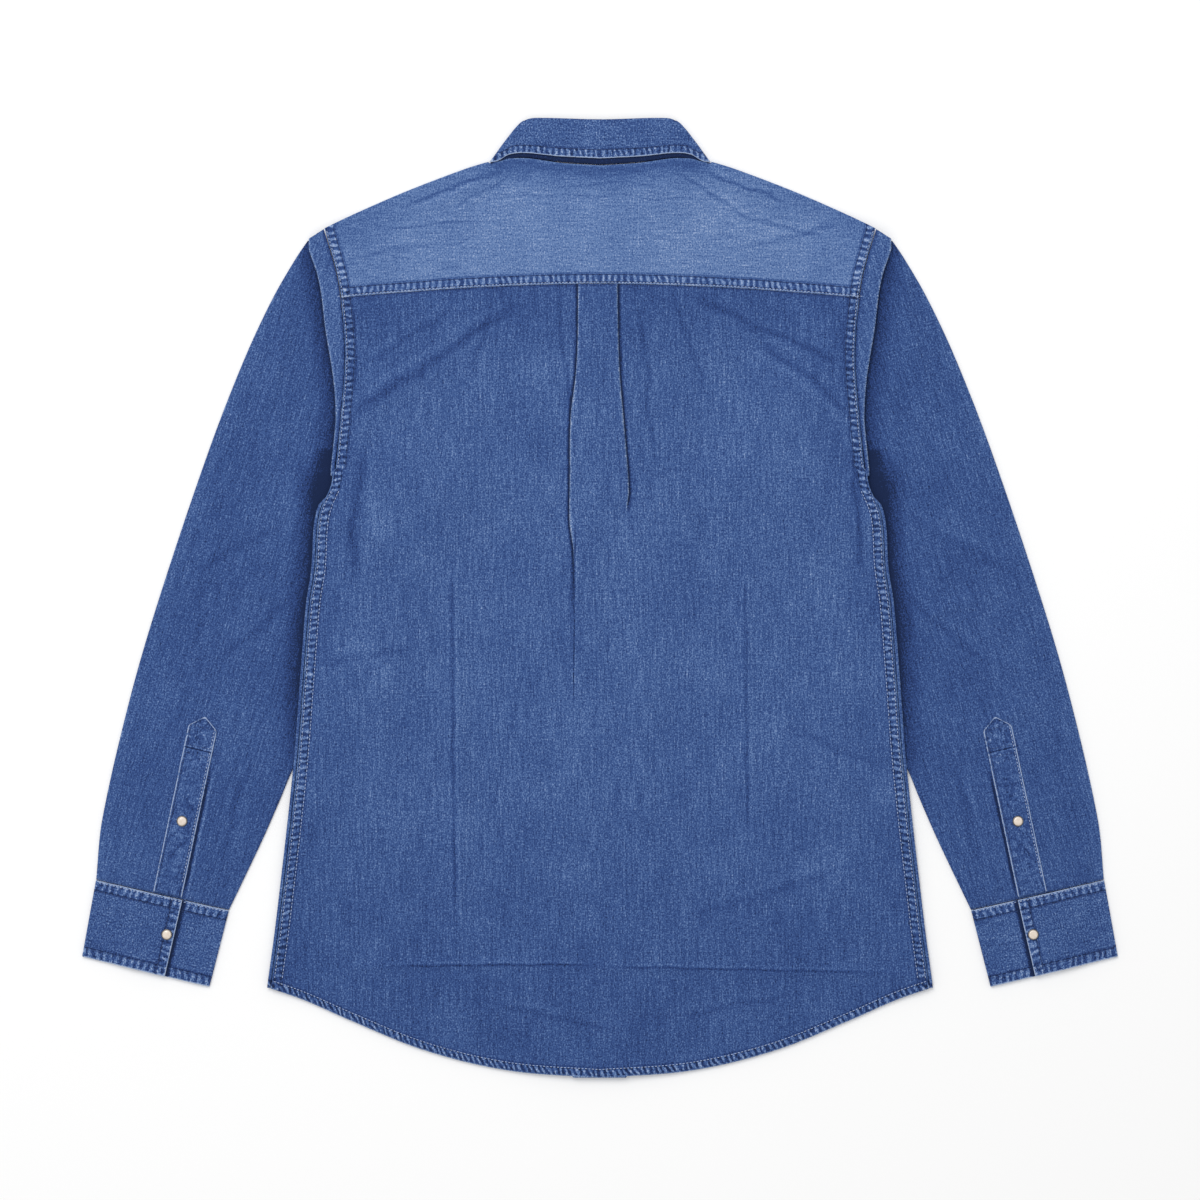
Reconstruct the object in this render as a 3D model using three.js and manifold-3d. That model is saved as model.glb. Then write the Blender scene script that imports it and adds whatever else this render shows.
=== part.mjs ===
// A long-sleeved denim shirt laid flat on its front, back uppermost, at real size in millimetres.
// +Z is up from the surface that it lies on, +Y runs from the hem to the collar, and +X is the wearer's right.
// Reach is measured out from the centre back, and drop down from the top edge of the collar.
import * as THREE from 'three';
import Module from 'manifold-3d';
import { mergeVertices } from 'three/addons/utils/BufferGeometryUtils.js';

const wasm = await Module();
wasm.setup();
const { smoothstep, lerp } = THREE.MathUtils;

// Driving sizes
const clothWall = 1.0;
const seamGap = 0.3;
const plyOffset = 0.75;
const backLooseness = 0.25;
const layerPitch = 2.8;
const floorMiddle = plyOffset + clothWall / 2;
const collarTopDrop = 0.8;
const hemDrop = 824.3;
const neckHalfWidth = 92.8;
const neckEnd = 93;
const rampWidth = 80;
const foldClearance = 4;
const flapMiddle = floorMiddle + layerPitch;
const collarLift = 1.3;
const placketLift = 2.8;
const placketWidth = 32;
const snapDiameter = 9.5;
const snapHeight = 1.3;
const snapCount = 7;
const firstSnapDrop = 178;
const snapSpacing = 88;
const cuffWall = 1.2;
const cuffPlyPitch = 1.6;
const hemBand = { width: 8, rise: 0.5 };
const underarmDrop = 311.7;
const pleat = { topHalf: 15, lowHalf: 22, slope: 1.5, rise: 1.7 };
const pleatWidens = { from: 150, to: 320 };
const pleatOpens = { from: 310, to: 400 };
const neckRamp = { from: 18, to: 95 };
const chestRamp = { from: 20, to: 112 };
const sideOpening = { from: 302, to: 322 };
const sideTurn = { from: 316, to: 332 };
const wrapTail = 1.4;
const neckTail = 0.6;
const wrapDepth = plyOffset + wrapTail + 2 * seamGap;
const shoulderFold = { from: 92.7, to: 95.4 };
const yokeHalfSeam = 222;
const armholeTopReach = 236.5;
const backHemReach = 282.4;
const frontHemReach = 284;
const frontTopReach = 238;
const frontShoulderInset = 4.5;
const sleeveSpan = { outerStart: 106, outerEnd: 654.6, innerLonger: 25.8, narrowest: 10 };
const sleeveHeadSpan = { start: 96.4, end: 300, lean: 0.66, leanEnd: 140, narrowest: 6 };
const cuffWidth = 115;
const cuffOverlap = { start: 0.15, edge: 0.655, underEnd: 0.45 };
const cuffSnap = { along: 0.6, down: 0.47 };
const placketSnap = { reach: 358.6, drop: 604.2 };
const sleevePlacket = {
  tip: { reach: 339, drop: 515 },
  end: { reach: 371.2, drop: 667.4 },
  halfWidth: 12.4,
  pointLength: 10,
  pointHalf: 1.5,
};
const placketMiddle = floorMiddle + plyOffset + clothWall + seamGap;
const cuffLow = cuffWall / 2;
const cuffHigh = cuffLow + cuffPlyPitch;
const collarFoldEnd = 36.6;
const collarLeaf = { standTip: 3, standDrop: 86, fallTop: 4, fallPoint: 70, fallDrop: 84, pointDrop: 150 };
const middleDrop = (hemDrop + collarTopDrop) / 2;

// The shirt's outline, one row for each place where it changes direction
const shoulderLine = [
  { reach: 93, drop: 37.6 },
  { reach: 115, drop: 44.3 },
  { reach: 161, drop: 61.5 },
  { reach: 201, drop: 78.7 },
  { reach: 236, drop: 95.9 },
  { reach: 250, drop: 104.5 },
];
const backNeck = [
  { reach: 0, drop: 41.4 },
  { reach: 33, drop: 39.2 },
  { reach: 62, drop: 35.2 },
  { reach: 78, drop: 35.4 },
  { reach: 86, drop: 37.4 },
  { reach: 93, drop: 37.6 },
];
const armholeSeam = [
  { drop: 95.9, reach: 236.5 },
  { drop: 135.5, reach: 225.3 },
  { drop: 164.7, reach: 221.0 },
  { drop: 207, reach: 218.4 },
  { drop: 260.2, reach: 222.3 },
  { drop: 302.3, reach: 226.5 },
];
const sleeveCrease = [
  { drop: 104.5, reach: 249.4 },
  { drop: 147.5, reach: 239.5 },
  { drop: 181.9, reach: 235.2 },
  { drop: 229.2, reach: 227.9 },
  { drop: 268, reach: 226.5 },
  { drop: 309.2, reach: 230.5 },
];
const bodyEdge = [
  { drop: 300, reach: 228.5 },
  { drop: 310, reach: 230.5 },
  { drop: 341, reach: 243.5 },
  { drop: 388.3, reach: 247.5 },
  { drop: 417.5, reach: 252.0 },
  { drop: 470.9, reach: 256.3 },
  { drop: 560.3, reach: 263.2 },
  { drop: 689.3, reach: 277.8 },
  { drop: 746.9, reach: 285.5 },
];
const hemLine = [
  { reach: 0, drop: 824.3 },
  { reach: 80, drop: 818.3 },
  { reach: 151, drop: 801.1 },
  { reach: 215, drop: 775.3 },
  { reach: 254, drop: 758.1 },
  { reach: 285.5, drop: 746.9 },
];
const sleeveOuterEdge = [
  { drop: 104.5, reach: 249.8 },
  { drop: 121.7, reach: 261.4 },
  { drop: 156.1, reach: 281.2 },
  { drop: 207.7, reach: 305.3 },
  { drop: 285.1, reach: 335.4 },
  { drop: 414.1, reach: 378.8 },
  { drop: 500.1, reach: 403.8 },
  { drop: 603.3, reach: 427.4 },
  { drop: 654.9, reach: 432.6 },
];
const sleeveInnerEdge = [
  { drop: 312, reach: 146 },
  { drop: 560.3, reach: 264.9 },
  { drop: 586.1, reach: 275.6 },
  { drop: 620.5, reach: 290.7 },
  { drop: 680.7, reach: 319.4 },
];
const cuffCorners = {
  outerTop: { reach: 432.6, drop: 655.3 },
  innerTop: { reach: 319.6, drop: 681.1 },
  outerBottom: { reach: 444.4, drop: 720.7 },
  innerBottom: { reach: 336.3, drop: 746.5 },
};
const collarFoldLine = [
  { drop: 0.8, reach: 61.5 },
  { drop: 5.6, reach: 68.8 },
  { drop: 18.5, reach: 79.6 },
  { drop: 36.6, reach: 92.9 },
];
const collarLowerEdge = [
  { reach: 0, drop: 35.4 },
  { reach: 35, drop: 33.6 },
  { reach: 70, drop: 30.8 },
  { reach: 93, drop: 36.6 },
];

// Broad soft folds in the back, as ridges from one point to another
const backFolds = [
  { fromX: -128, fromDrop: 410, toX: -128, toDrop: 700, width: 34, rise: 1.6 },
  { fromX: 125, fromDrop: 410, toX: 125, toDrop: 520, width: 30, rise: 1.3 },
  { fromX: -205, fromDrop: 262, toX: -135, toDrop: 214, width: 22, rise: 1.2 },
  { fromX: -210, fromDrop: 730, toX: 262, toDrop: 736, width: 14, rise: 0.9 },
];

// A value from a table, on a smooth curve through its rows
function read(table, by, at, column) {
  const last = table.length - 1;
  if (at <= table[0][by]) return table[0][column];
  if (at >= table[last][by]) return table[last][column];
  let row = 0;
  while (table[row + 1][by] < at) row += 1;
  const slope = (index) => {
    const before = table[Math.max(index - 1, 0)];
    const after = table[Math.min(index + 1, last)];
    return (after[column] - before[column]) / (after[by] - before[by]);
  };
  const start = table[row];
  const end = table[row + 1];
  const span = end[by] - start[by];
  const t = (at - start[by]) / span;
  const startWeight = (1 + 2 * t) * (1 - t) ** 2;
  const slopeParts = t * (1 - t) ** 2 * slope(row) - t * t * (1 - t) * slope(row + 1);
  return startWeight * start[column] + (1 - startWeight) * end[column] + span * slopeParts;
}

const foldLineReach = (drop) => 312.1 - 0.532 * drop;
const innerEdgeReach = (drop) => read(sleeveInnerEdge, 'drop', drop, 'reach');
const hiddenEdge = (drop) => (drop < underarmDrop ? foldLineReach(drop) : innerEdgeReach(drop));
const seamReach = (drop) => read(armholeSeam, 'drop', drop, 'reach');
const creaseReach = (drop) => Math.max(read(sleeveCrease, 'drop', drop, 'reach'), seamReach(drop) + 4);
const yokeSeamDrop = (reach) => 143.2 + 12 * (reach / yokeHalfSeam) ** 2;
const hemDropAt = (reach) => read(hemLine, 'reach', reach, 'drop');
const neckDropAt = (reach) => read(backNeck, 'reach', reach, 'drop');
const shoulderDropAt = (reach) => read(shoulderLine, 'reach', reach, 'drop');
const topDrop = (reach) => (reach < neckEnd ? neckDropAt(reach) : shoulderDropAt(reach));

// The front neck is a full curve from the shoulder down to the centre front
function frontNeckDrop(reach) {
  const share = Math.min(reach / neckHalfWidth, 1);
  return 37 + 81 * Math.sqrt(1 - share ** 3);
}

// Top edge of a front: the neck curve, then along under the shoulder fold
function frontTopDrop(reach) {
  const neck = 41 + 81 * Math.sqrt(Math.max(1 - (reach / 99) ** 3, 0));
  return Math.max(neck, topDrop(Math.max(reach, neckEnd)) + frontShoulderInset);
}

// How far the cloth is lifted by the front placket, from 0 to 1
function placketShare(reach, drop) {
  return smoothstep(drop, chestRamp.from, chestRamp.to) * (1 - smoothstep(reach, neckRamp.from, neckRamp.to));
}

// Height of the middle of the two body plies, over the sleeves, the collar and the front placket
function bodyMiddle(reach, drop) {
  const edge = hiddenEdge(drop) - foldClearance;
  const overSleeve = smoothstep(reach, edge - rampWidth, edge);
  const overFlap = 1 - smoothstep(drop, underarmDrop + 3, underarmDrop + 103);
  const overCollar = (1 - smoothstep(drop, 160, 230)) * (1 - smoothstep(reach, 98, 160));
  const overPlacket = placketShare(reach, drop);
  return floorMiddle + layerPitch * overSleeve * (1 + overFlap)
    + collarLift * overCollar + placketLift * overPlacket;
}

function foldHeight(x, drop) {
  let height = 0;
  for (const fold of backFolds) {
    const along = new THREE.Vector2(fold.toX - fold.fromX, fold.toDrop - fold.fromDrop);
    const here = new THREE.Vector2(x - fold.fromX, drop - fold.fromDrop);
    const share = THREE.MathUtils.clamp(here.dot(along) / along.lengthSq(), 0, 1);
    const distance = here.sub(along.multiplyScalar(share)).length();
    height += fold.rise * (1 - smoothstep(distance, 0, fold.width));
  }
  return height;
}

const place = (x, drop, height) => new THREE.Vector3(x, middleDrop - drop, height);
const evenSteps = (count) => Array.from({ length: count + 1 }, (_, index) => index / count);

// Offsets, forward and up, along cloth that turns by an angle on a fold and runs on for a short tail
function turned(angle, radius, tail) {
  const length = Math.PI * radius;
  const offsets = [];
  for (const share of [0.33, 0.67, 1]) {
    const turn = Math.max(angle, 0.001) * share;
    const arcRadius = length / Math.max(angle, 0.001);
    offsets.push({ forward: arcRadius * Math.sin(turn), up: arcRadius * (1 - Math.cos(turn)) });
  }
  const end = offsets[offsets.length - 1];
  offsets.push({ forward: end.forward + tail * Math.cos(angle), up: end.up + tail * Math.sin(angle) });
  return offsets;
}

// A closed wall about a grid of points on the middle of the cloth; a ring joins each row's two ends
function clothSolid(grid, { wall = clothWall, ring = false, raise = () => 0 } = {}) {
  const rows = grid.length;
  const columns = grid[0].length;
  const positions = [];
  for (const side of [1, -1]) {
    grid.forEach((points, row) => {
      points.forEach((point, column) => {
        const after = ring ? points[(column + 1) % columns] : points[Math.min(column + 1, columns - 1)];
        const before = ring ? points[(column + columns - 1) % columns] : points[Math.max(column - 1, 0)];
        const below = grid[Math.min(row + 1, rows - 1)][column];
        const above = grid[Math.max(row - 1, 0)][column];
        const normal = below.clone().sub(above).cross(after.clone().sub(before)).normalize();
        const outward = point.clone().addScaledVector(normal, side * wall / 2);
        if (side > 0) outward.z += raise(point);
        positions.push(outward.x, outward.y, outward.z);
      });
    });
  }
  const at = (side, row, column) => (side * rows + row) * columns + (column % columns);
  const triangles = [];
  const quad = (a, b, c, d) => triangles.push(a, b, c, a, c, d);
  const spans = ring ? columns : columns - 1;
  for (let row = 0; row < rows - 1; row += 1) {
    for (let column = 0; column < spans; column += 1) {
      quad(at(0, row, column), at(0, row + 1, column), at(0, row + 1, column + 1), at(0, row, column + 1));
      quad(at(1, row, column), at(1, row, column + 1), at(1, row + 1, column + 1), at(1, row + 1, column));
    }
    if (!ring) {
      quad(at(0, row, 0), at(1, row, 0), at(1, row + 1, 0), at(0, row + 1, 0));
      quad(at(0, row, spans), at(0, row + 1, spans), at(1, row + 1, spans), at(1, row, spans));
    }
  }
  for (let column = 0; column < spans; column += 1) {
    const last = rows - 1;
    quad(at(0, 0, column), at(0, 0, column + 1), at(1, 0, column + 1), at(1, 0, column));
    quad(at(0, last, column), at(1, last, column), at(1, last, column + 1), at(0, last, column + 1));
  }
  return facedOutward(positions, triangles);
}

// The triangles are turned over where a mirrored grid has left them facing in
function facedOutward(positions, triangles) {
  const geometry = new THREE.BufferGeometry();
  geometry.setAttribute('position', new THREE.Float32BufferAttribute(positions, 3));
  const [a, b, c] = [new THREE.Vector3(), new THREE.Vector3(), new THREE.Vector3()];
  const points = geometry.getAttribute('position');
  let volume = 0;
  for (let index = 0; index < triangles.length; index += 3) {
    a.fromBufferAttribute(points, triangles[index]);
    b.fromBufferAttribute(points, triangles[index + 1]);
    c.fromBufferAttribute(points, triangles[index + 2]);
    volume += a.dot(b.cross(c));
  }
  const order = volume > 0 ? triangles : triangles.reverse();
  geometry.setIndex(order);
  return geometry;
}

// Two solids made into one
function joined(first, second) {
  const solids = [first, second].map((geometry) => {
    const merged = mergeVertices(geometry, 1e-4);
    return new wasm.Manifold(new wasm.Mesh({
      numProp: 3,
      vertProperties: new Float32Array(merged.getAttribute('position').array),
      triVerts: new Uint32Array(merged.getIndex().array),
    }));
  });
  const bodies = solids[0].add(solids[1]).decompose();
  // A small pocket shut inside the fold is left filled
  const whole = bodies.reduce((largest, body) => (body.volume() > largest.volume() ? body : largest));
  const mesh = whole.getMesh();
  const geometry = new THREE.BufferGeometry();
  geometry.setAttribute('position', new THREE.BufferAttribute(mesh.vertProperties, 3));
  geometry.setIndex(new THREE.BufferAttribute(mesh.triVerts, 1));
  return geometry;
}

const shirt = new THREE.Group();
shirt.name = 'denim_shirt';

const finishes = {
  denim: { color: 0x3f5d90, roughness: 0.92, metalness: 0 },
  fadedDenim: { color: 0x5f7cad, roughness: 0.92, metalness: 0 },
  pearl: { color: 0xe8dccd, roughness: 0.25, metalness: 0 },
};

function add(name, geometry, finish) {
  const mesh = new THREE.Mesh(geometry, new THREE.MeshStandardMaterial(finish));
  mesh.name = name;
  shirt.add(mesh);
  return mesh;
}

// Outer reach of the back panel: the armhole seam, then the side seam just inside the folded edge
function backReach(drop) {
  if (drop < sideOpening.from) return seamReach(drop);
  const inset = (wrapDepth + seamGap) * smoothstep(drop, sideOpening.from, sideOpening.to);
  return read(bodyEdge, 'drop', drop, 'reach') - inset;
}

const pleatHalfAt = (drop) => (
  lerp(pleat.topHalf, pleat.lowHalf, smoothstep(drop, pleatWidens.from, pleatWidens.to)));

// The box pleat at centre back stands up from the panel and opens out by the waist
function pleatHeight(x, drop) {
  const half = pleatHalfAt(drop);
  const closed = 1 - smoothstep(drop, pleatOpens.from, pleatOpens.to);
  return pleat.rise * closed * (1 - smoothstep(Math.abs(x), half - pleat.slope, half));
}

function backHeight(x, drop) {
  return bodyMiddle(Math.abs(x), drop) + plyOffset + backLooseness + foldHeight(x, drop);
}

function backPanel() {
  const across = [1, 0.91, 0.82, 0.73, 0.63, 0.53, 0.43, 0.33, 0.22, 0.13].map((u) => -u);
  const hemShare = 0.988;
  const steps = [...evenSteps(22).map((share) => share * hemShare), 0.9905, 1];
  const grid = steps.map((share) => {
    const row = [];
    const half = (u) => {
      const top = yokeSeamDrop(u * yokeHalfSeam) + seamGap;
      const bottom = hemDropAt(u * backHemReach);
      const drop = lerp(top, bottom, share);
      return { drop, reach: u * backReach(drop) };
    };
    const atPleat = half(0).drop;
    const outerHalf = pleatHalfAt(atPleat);
    const innerHalf = outerHalf - pleat.slope;
    const inner = [-outerHalf, -innerHalf, 0, innerHalf, outerHalf];
    const spot = (x, drop) => place(x, drop, backHeight(x, drop));
    across.forEach((u) => row.push(spot(-half(-u).reach, half(-u).drop)));
    inner.forEach((x) => row.push(spot(x, atPleat)));
    [...across].reverse().forEach((u) => row.push(spot(half(-u).reach, half(-u).drop)));
    return row;
  });
  const raise = (point) => {
    const drop = middleDrop - point.y;
    const reach = Math.min(Math.abs(point.x), backHemReach);
    const inBand = hemDropAt(reach) - drop < hemBand.width;
    return pleatHeight(point.x, drop) + (inBand ? hemBand.rise : 0);
  };
  return clothSolid(grid, { raise });
}

// The yoke's sides slope in with the armhole
function narrowed(reach, drop) {
  return reach - (armholeTopReach - seamReach(drop)) * smoothstep(reach, neckEnd, 236);
}

// The yoke rolls over the shoulder fold and ends flat along the neck
function yoke() {
  const half = [236.2, 222, 196, 168, 140, 118, 102, 95.5, 92.6, 84, 66, 48, 24];
  const columns = [...half.map((x) => -x), 0, ...[...half].reverse()];
  const path = (x) => {
    const reach = Math.abs(x);
    const fold = smoothstep(reach, shoulderFold.from, shoulderFold.to);
    const top = topDrop(reach);
    const offsets = turned(Math.PI * fold, plyOffset, lerp(neckTail, wrapTail, fold));
    const straight = Math.PI * plyOffset + neckTail;
    const start = top + lerp(straight, plyOffset, fold);
    const seam = yokeSeamDrop(narrowed(reach, 150));
    const at = (drop, height) => place(Math.sign(x) * narrowed(reach, drop), drop, height);
    const points = evenSteps(5).map((share) => {
      const drop = lerp(seam, start, share);
      return at(drop, bodyMiddle(reach, drop) + plyOffset);
    });
    offsets.forEach(({ forward, up }) => {
      points.push(at(start - forward, bodyMiddle(reach, start) + plyOffset - up));
    });
    return points;
  };
  const lines = columns.map(path);
  return clothSolid(lines[0].map((_, row) => lines.map((line) => line[row])));
}

// Each front lies under the back and turns up round the side edge to meet it
function frontPanel(side, centreEdge, sink) {
  const rows = evenSteps(22);
  const across = evenSteps(11);
  const grid = rows.map((share) => {
    const wrapFor = (drop) => smoothstep(drop, sideTurn.from, sideTurn.to);
    const outer = (drop) => {
      const wrap = wrapFor(drop);
      const folded = read(bodyEdge, 'drop', drop, 'reach') - plyOffset;
      return lerp(seamReach(drop) - Math.PI * plyOffset - wrapTail, folded, wrap);
    };
    const spot = (u) => {
      const upper = frontTopDrop(Math.abs(lerp(centreEdge, frontTopReach, u)));
      const bottom = hemDropAt(Math.abs(lerp(centreEdge, frontHemReach, u)));
      const drop = lerp(upper, bottom, share);
      return { drop, x: side * lerp(centreEdge, outer(drop), u) };
    };
    const height = (x, drop) => {
      const lower = sink * placketShare(Math.abs(x), drop);
      return bodyMiddle(Math.abs(x), drop) - plyOffset - lower;
    };
    const row = across.map((u) => {
      const { drop, x } = spot(u);
      return place(x, drop, height(x, drop));
    });
    const edge = spot(1);
    turned(Math.PI * wrapFor(edge.drop), plyOffset, wrapTail).forEach(({ forward, up }) => {
      row.push(place(edge.x + side * forward, edge.drop, height(edge.x, edge.drop) + up));
    });
    return row;
  });
  return clothSolid(grid);
}

function frontPlacket() {
  const top = frontNeckDrop(0) + seamGap;
  const bottom = hemDrop - seamGap;
  const height = bodyMiddle(0, 400) - plyOffset - clothWall - seamGap;
  const grid = evenSteps(12).map((share) => {
    const drop = lerp(top, bottom, share);
    return [-1, 0, 1].map((u) => place(u * placketWidth / 2, drop - Math.abs(u) * 0.4, height));
  });
  return clothSolid(grid);
}

// The collar's two parts are flattened rings, open at the front, with a fold at each side of the neck
function collarRing({ foldInset, backHeight, frontHeight, backDrop, frontEnd }) {
  const radius = (backHeight - frontHeight) / 2;
  const grid = evenSteps(3).map((share) => {
    const foldDrop = lerp(collarTopDrop, collarFoldEnd, share);
    const foldReach = read(collarFoldLine, 'drop', foldDrop, 'reach') - foldInset;
    const arcReach = foldReach - radius;
    const half = [];
    for (const f of [1, 0.8, 0.6, 0.4, 0.2, 0]) {
      const { reach, drop } = frontEnd(f, share, arcReach, foldDrop);
      half.push({ reach, drop, height: frontHeight });
    }
    for (const turn of [0.25, 0.5, 0.75]) {
      const angle = Math.PI * turn;
      const height = frontHeight + radius * (1 - Math.cos(angle));
      half.push({ reach: arcReach + radius * Math.sin(angle), drop: foldDrop, height });
    }
    for (const u of [1, 0.8, 0.6, 0.4, 0.2]) {
      const reach = arcReach * u;
      half.push({ reach, drop: backDrop(reach, share, arcReach, foldDrop), height: backHeight });
    }
    const middle = place(0, backDrop(0, share, arcReach, foldDrop), backHeight);
    const left = half.map((p) => place(-p.reach, p.drop, p.height));
    const right = [...half].reverse().map((p) => place(p.reach, p.drop, p.height));
    return [...left, middle, ...right];
  });
  return clothSolid(grid);
}

const rollDip = (reach) => collarTopDrop + 1.2 * (1 - smoothstep(reach, 0, 50));

function collarStand() {
  const backDrop = (reach, share, arcReach, foldDrop) => {
    const middle = lerp(rollDip(reach) + 1, neckDropAt(reach) - 3 * seamGap, share);
    return lerp(middle, foldDrop, smoothstep(reach / arcReach, 0.75, 1));
  };
  const frontEnd = (f, share, arcReach, foldDrop) => {
    const reach = lerp(arcReach, collarLeaf.standTip, f);
    const upper = lerp(foldDrop, collarLeaf.standDrop, f);
    const lower = Math.max(frontNeckDrop((reach / arcReach) * neckHalfWidth), foldDrop);
    return { reach, drop: lerp(upper, lower, share) };
  };
  return collarRing({ foldInset: 2.4, backHeight: 3.3, frontHeight: 1.8, backDrop, frontEnd });
}

function collarFall() {
  const backDrop = (reach, share, arcReach, foldDrop) => {
    const middle = lerp(rollDip(reach), read(collarLowerEdge, 'reach', reach, 'drop'), share);
    return lerp(middle, foldDrop, smoothstep(reach / arcReach, 0.85, 1));
  };
  const frontEnd = (f, share, arcReach, foldDrop) => ({
    reach: lerp(arcReach, lerp(collarLeaf.fallTop, collarLeaf.fallPoint, share), f),
    drop: lerp(foldDrop, lerp(collarLeaf.fallDrop, collarLeaf.pointDrop, share), f),
  });
  return collarRing({ foldInset: 0, backHeight: 4.6, frontHeight: 0.5, backDrop, frontEnd });
}

// The arm of the sleeve is a flattened tube that runs out from under the body
function sleeveTube(side) {
  const arc = [0.25, 0.5, 0.75];
  const grid = evenSteps(14).map((share) => {
    const outerDrop = lerp(sleeveSpan.outerStart, sleeveSpan.outerEnd, share);
    const innerDrop = outerDrop + sleeveSpan.innerLonger * share;
    const outer = read(sleeveOuterEdge, 'drop', outerDrop, 'reach');
    const inner = Math.min(hiddenEdge(innerDrop), outer - sleeveSpan.narrowest);
    const at = (u, inset, height) => {
      const reach = lerp(inner, outer, u) + inset;
      const along = (reach - inner) / (outer - inner);
      return place(side * reach, lerp(innerDrop, outerDrop, along), height);
    };
    const steps = [0, 0.25, 0.5, 0.75, 1];
    const inset = (u) => plyOffset * (1 - 2 * u);
    const low = floorMiddle - plyOffset;
    const high = floorMiddle + plyOffset;
    const rounded = (u, turn) => {
      const side = u > 0 ? 1 : -1;
      const inward = plyOffset * (1 - Math.sin(Math.PI * turn));
      return at(u, -side * inward, floorMiddle + side * plyOffset * Math.cos(Math.PI * turn));
    };
    return [
      ...steps.map((u) => at(u, inset(u), high)),
      ...arc.map((turn) => rounded(1, turn)),
      ...[...steps].reverse().map((u) => at(u, inset(u), low)),
      ...arc.map((turn) => rounded(0, turn)),
    ];
  });
  return clothSolid(grid, { ring: true });
}

// The sleeve head: a strip beside the armhole, folded under at the crease and back to the tube
function sleeveHead(side) {
  const turns = [0.25, 0.5, 0.75];
  const grid = evenSteps(10).map((share) => {
    const rowDrop = lerp(sleeveHeadSpan.start, sleeveHeadSpan.end, share);
    const seam = seamReach(rowDrop) + seamGap * (2 + 3 * smoothstep(rowDrop, 260, 296));
    const lean = sleeveHeadSpan.lean * (1 - smoothstep(rowDrop, 96, sleeveHeadSpan.leanEnd));
    const dropAt = (reach) => rowDrop + lean * (reach - seam);
    const crease = creaseReach(rowDrop);
    const topHeight = (reach) => bodyMiddle(reach, dropAt(reach)) + plyOffset;
    const creaseTop = topHeight(crease);
    const outerRadius = (creaseTop - flapMiddle) / 2;
    const arcReach = crease - outerRadius;
    const innerReach = Math.min(foldLineReach(rowDrop), arcReach - sleeveHeadSpan.narrowest);
    const innerRadius = (flapMiddle - floorMiddle) / 2;
    const points = [0, 0.5, 1].map((u) => {
      const reach = lerp(seam, Math.max(arcReach, seam + 1), u);
      return { reach, height: u < 1 ? topHeight(reach) : creaseTop };
    });
    turns.forEach((turn) => {
      const angle = Math.PI * turn;
      const height = creaseTop - outerRadius * (1 - Math.cos(angle));
      points.push({ reach: arcReach + outerRadius * Math.sin(angle), height });
    });
    [0, 0.5, 1].forEach((u) => {
      points.push({ reach: lerp(arcReach, innerReach + innerRadius, u), height: flapMiddle });
    });
    [...turns, 1].forEach((turn) => {
      const angle = Math.PI * turn;
      const height = flapMiddle - innerRadius * (1 - Math.cos(angle));
      points.push({ reach: innerReach + innerRadius * (1 - Math.sin(angle)), height });
    });
    return points.map(({ reach, height }) => place(side * reach, dropAt(reach), height));
  });
  return clothSolid(grid);
}

const sleeve = (side) => joined(sleeveTube(side), sleeveHead(side));

// A point on the cuff: along runs from its outer to its inner edge, down from its seam to its hem
function cuffPoint(along, down, column) {
  const outer = lerp(cuffCorners.outerTop[column], cuffCorners.outerBottom[column], down);
  const inner = lerp(cuffCorners.innerTop[column], cuffCorners.innerBottom[column], down);
  return lerp(outer, inner, along);
}

// The cuff's upper ply rises over the end of the ply beneath it
function cuffTopHeight(along) {
  return cuffHigh + cuffPlyPitch * smoothstep(along, cuffOverlap.start, cuffOverlap.underEnd - 0.03);
}

// The cuff is a band that goes round the sleeve end and laps over itself on top
function cuff(side) {
  const radius = cuffPlyPitch / 2;
  const middle = (cuffLow + cuffHigh) / 2;
  const edge = radius / cuffWidth;
  const path = [];
  for (const along of [cuffOverlap.edge, 0.55, 0.42, 0.28, cuffOverlap.start, edge]) {
    path.push({ along, height: cuffTopHeight(along) });
  }
  for (const turn of [0.25, 0.5, 0.75]) {
    const height = middle + radius * Math.cos(Math.PI * turn);
    path.push({ along: edge * (1 - Math.sin(Math.PI * turn)), height });
  }
  for (const along of [edge, 0.2, 0.4, 0.6, 0.8, 1 - edge]) {
    path.push({ along, height: cuffLow });
  }
  for (const turn of [0.25, 0.5, 0.75]) {
    const height = middle - radius * Math.cos(Math.PI * turn);
    path.push({ along: 1 - edge * (1 - Math.sin(Math.PI * turn)), height });
  }
  for (const along of [1 - edge, 0.85, 0.65, cuffOverlap.underEnd]) {
    path.push({ along, height: cuffHigh });
  }
  const grid = [0, 0.12, 0.5, 0.88, 1].map((down) => path.map(({ along, height }) => (
    place(side * cuffPoint(along, down, 'reach'), cuffPoint(along, down, 'drop'), height))));
  return clothSolid(grid, { wall: cuffWall });
}

// The sleeve placket is a pointed strip on the upper ply, from its tip down to the cuff
function sleevePlacketStrip(side) {
  const { tip, end, halfWidth, pointLength, pointHalf } = sleevePlacket;
  const axis = new THREE.Vector2(end.reach - tip.reach, end.drop - tip.drop);
  const length = axis.length();
  axis.normalize();
  const grid = [0, pointLength, length * 0.3, length * 0.6, length * 0.95, length].map((run) => {
    const half = run === 0 ? pointHalf : halfWidth;
    return [-1, -0.4, 0.4, 1].map((u) => {
      const reach = tip.reach + axis.x * run + u * half * axis.y;
      const drop = tip.drop + axis.y * run - u * half * axis.x;
      return place(side * reach, drop - (run === length ? 0.4 : 0), placketMiddle);
    });
  });
  return clothSolid(grid);
}

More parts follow.
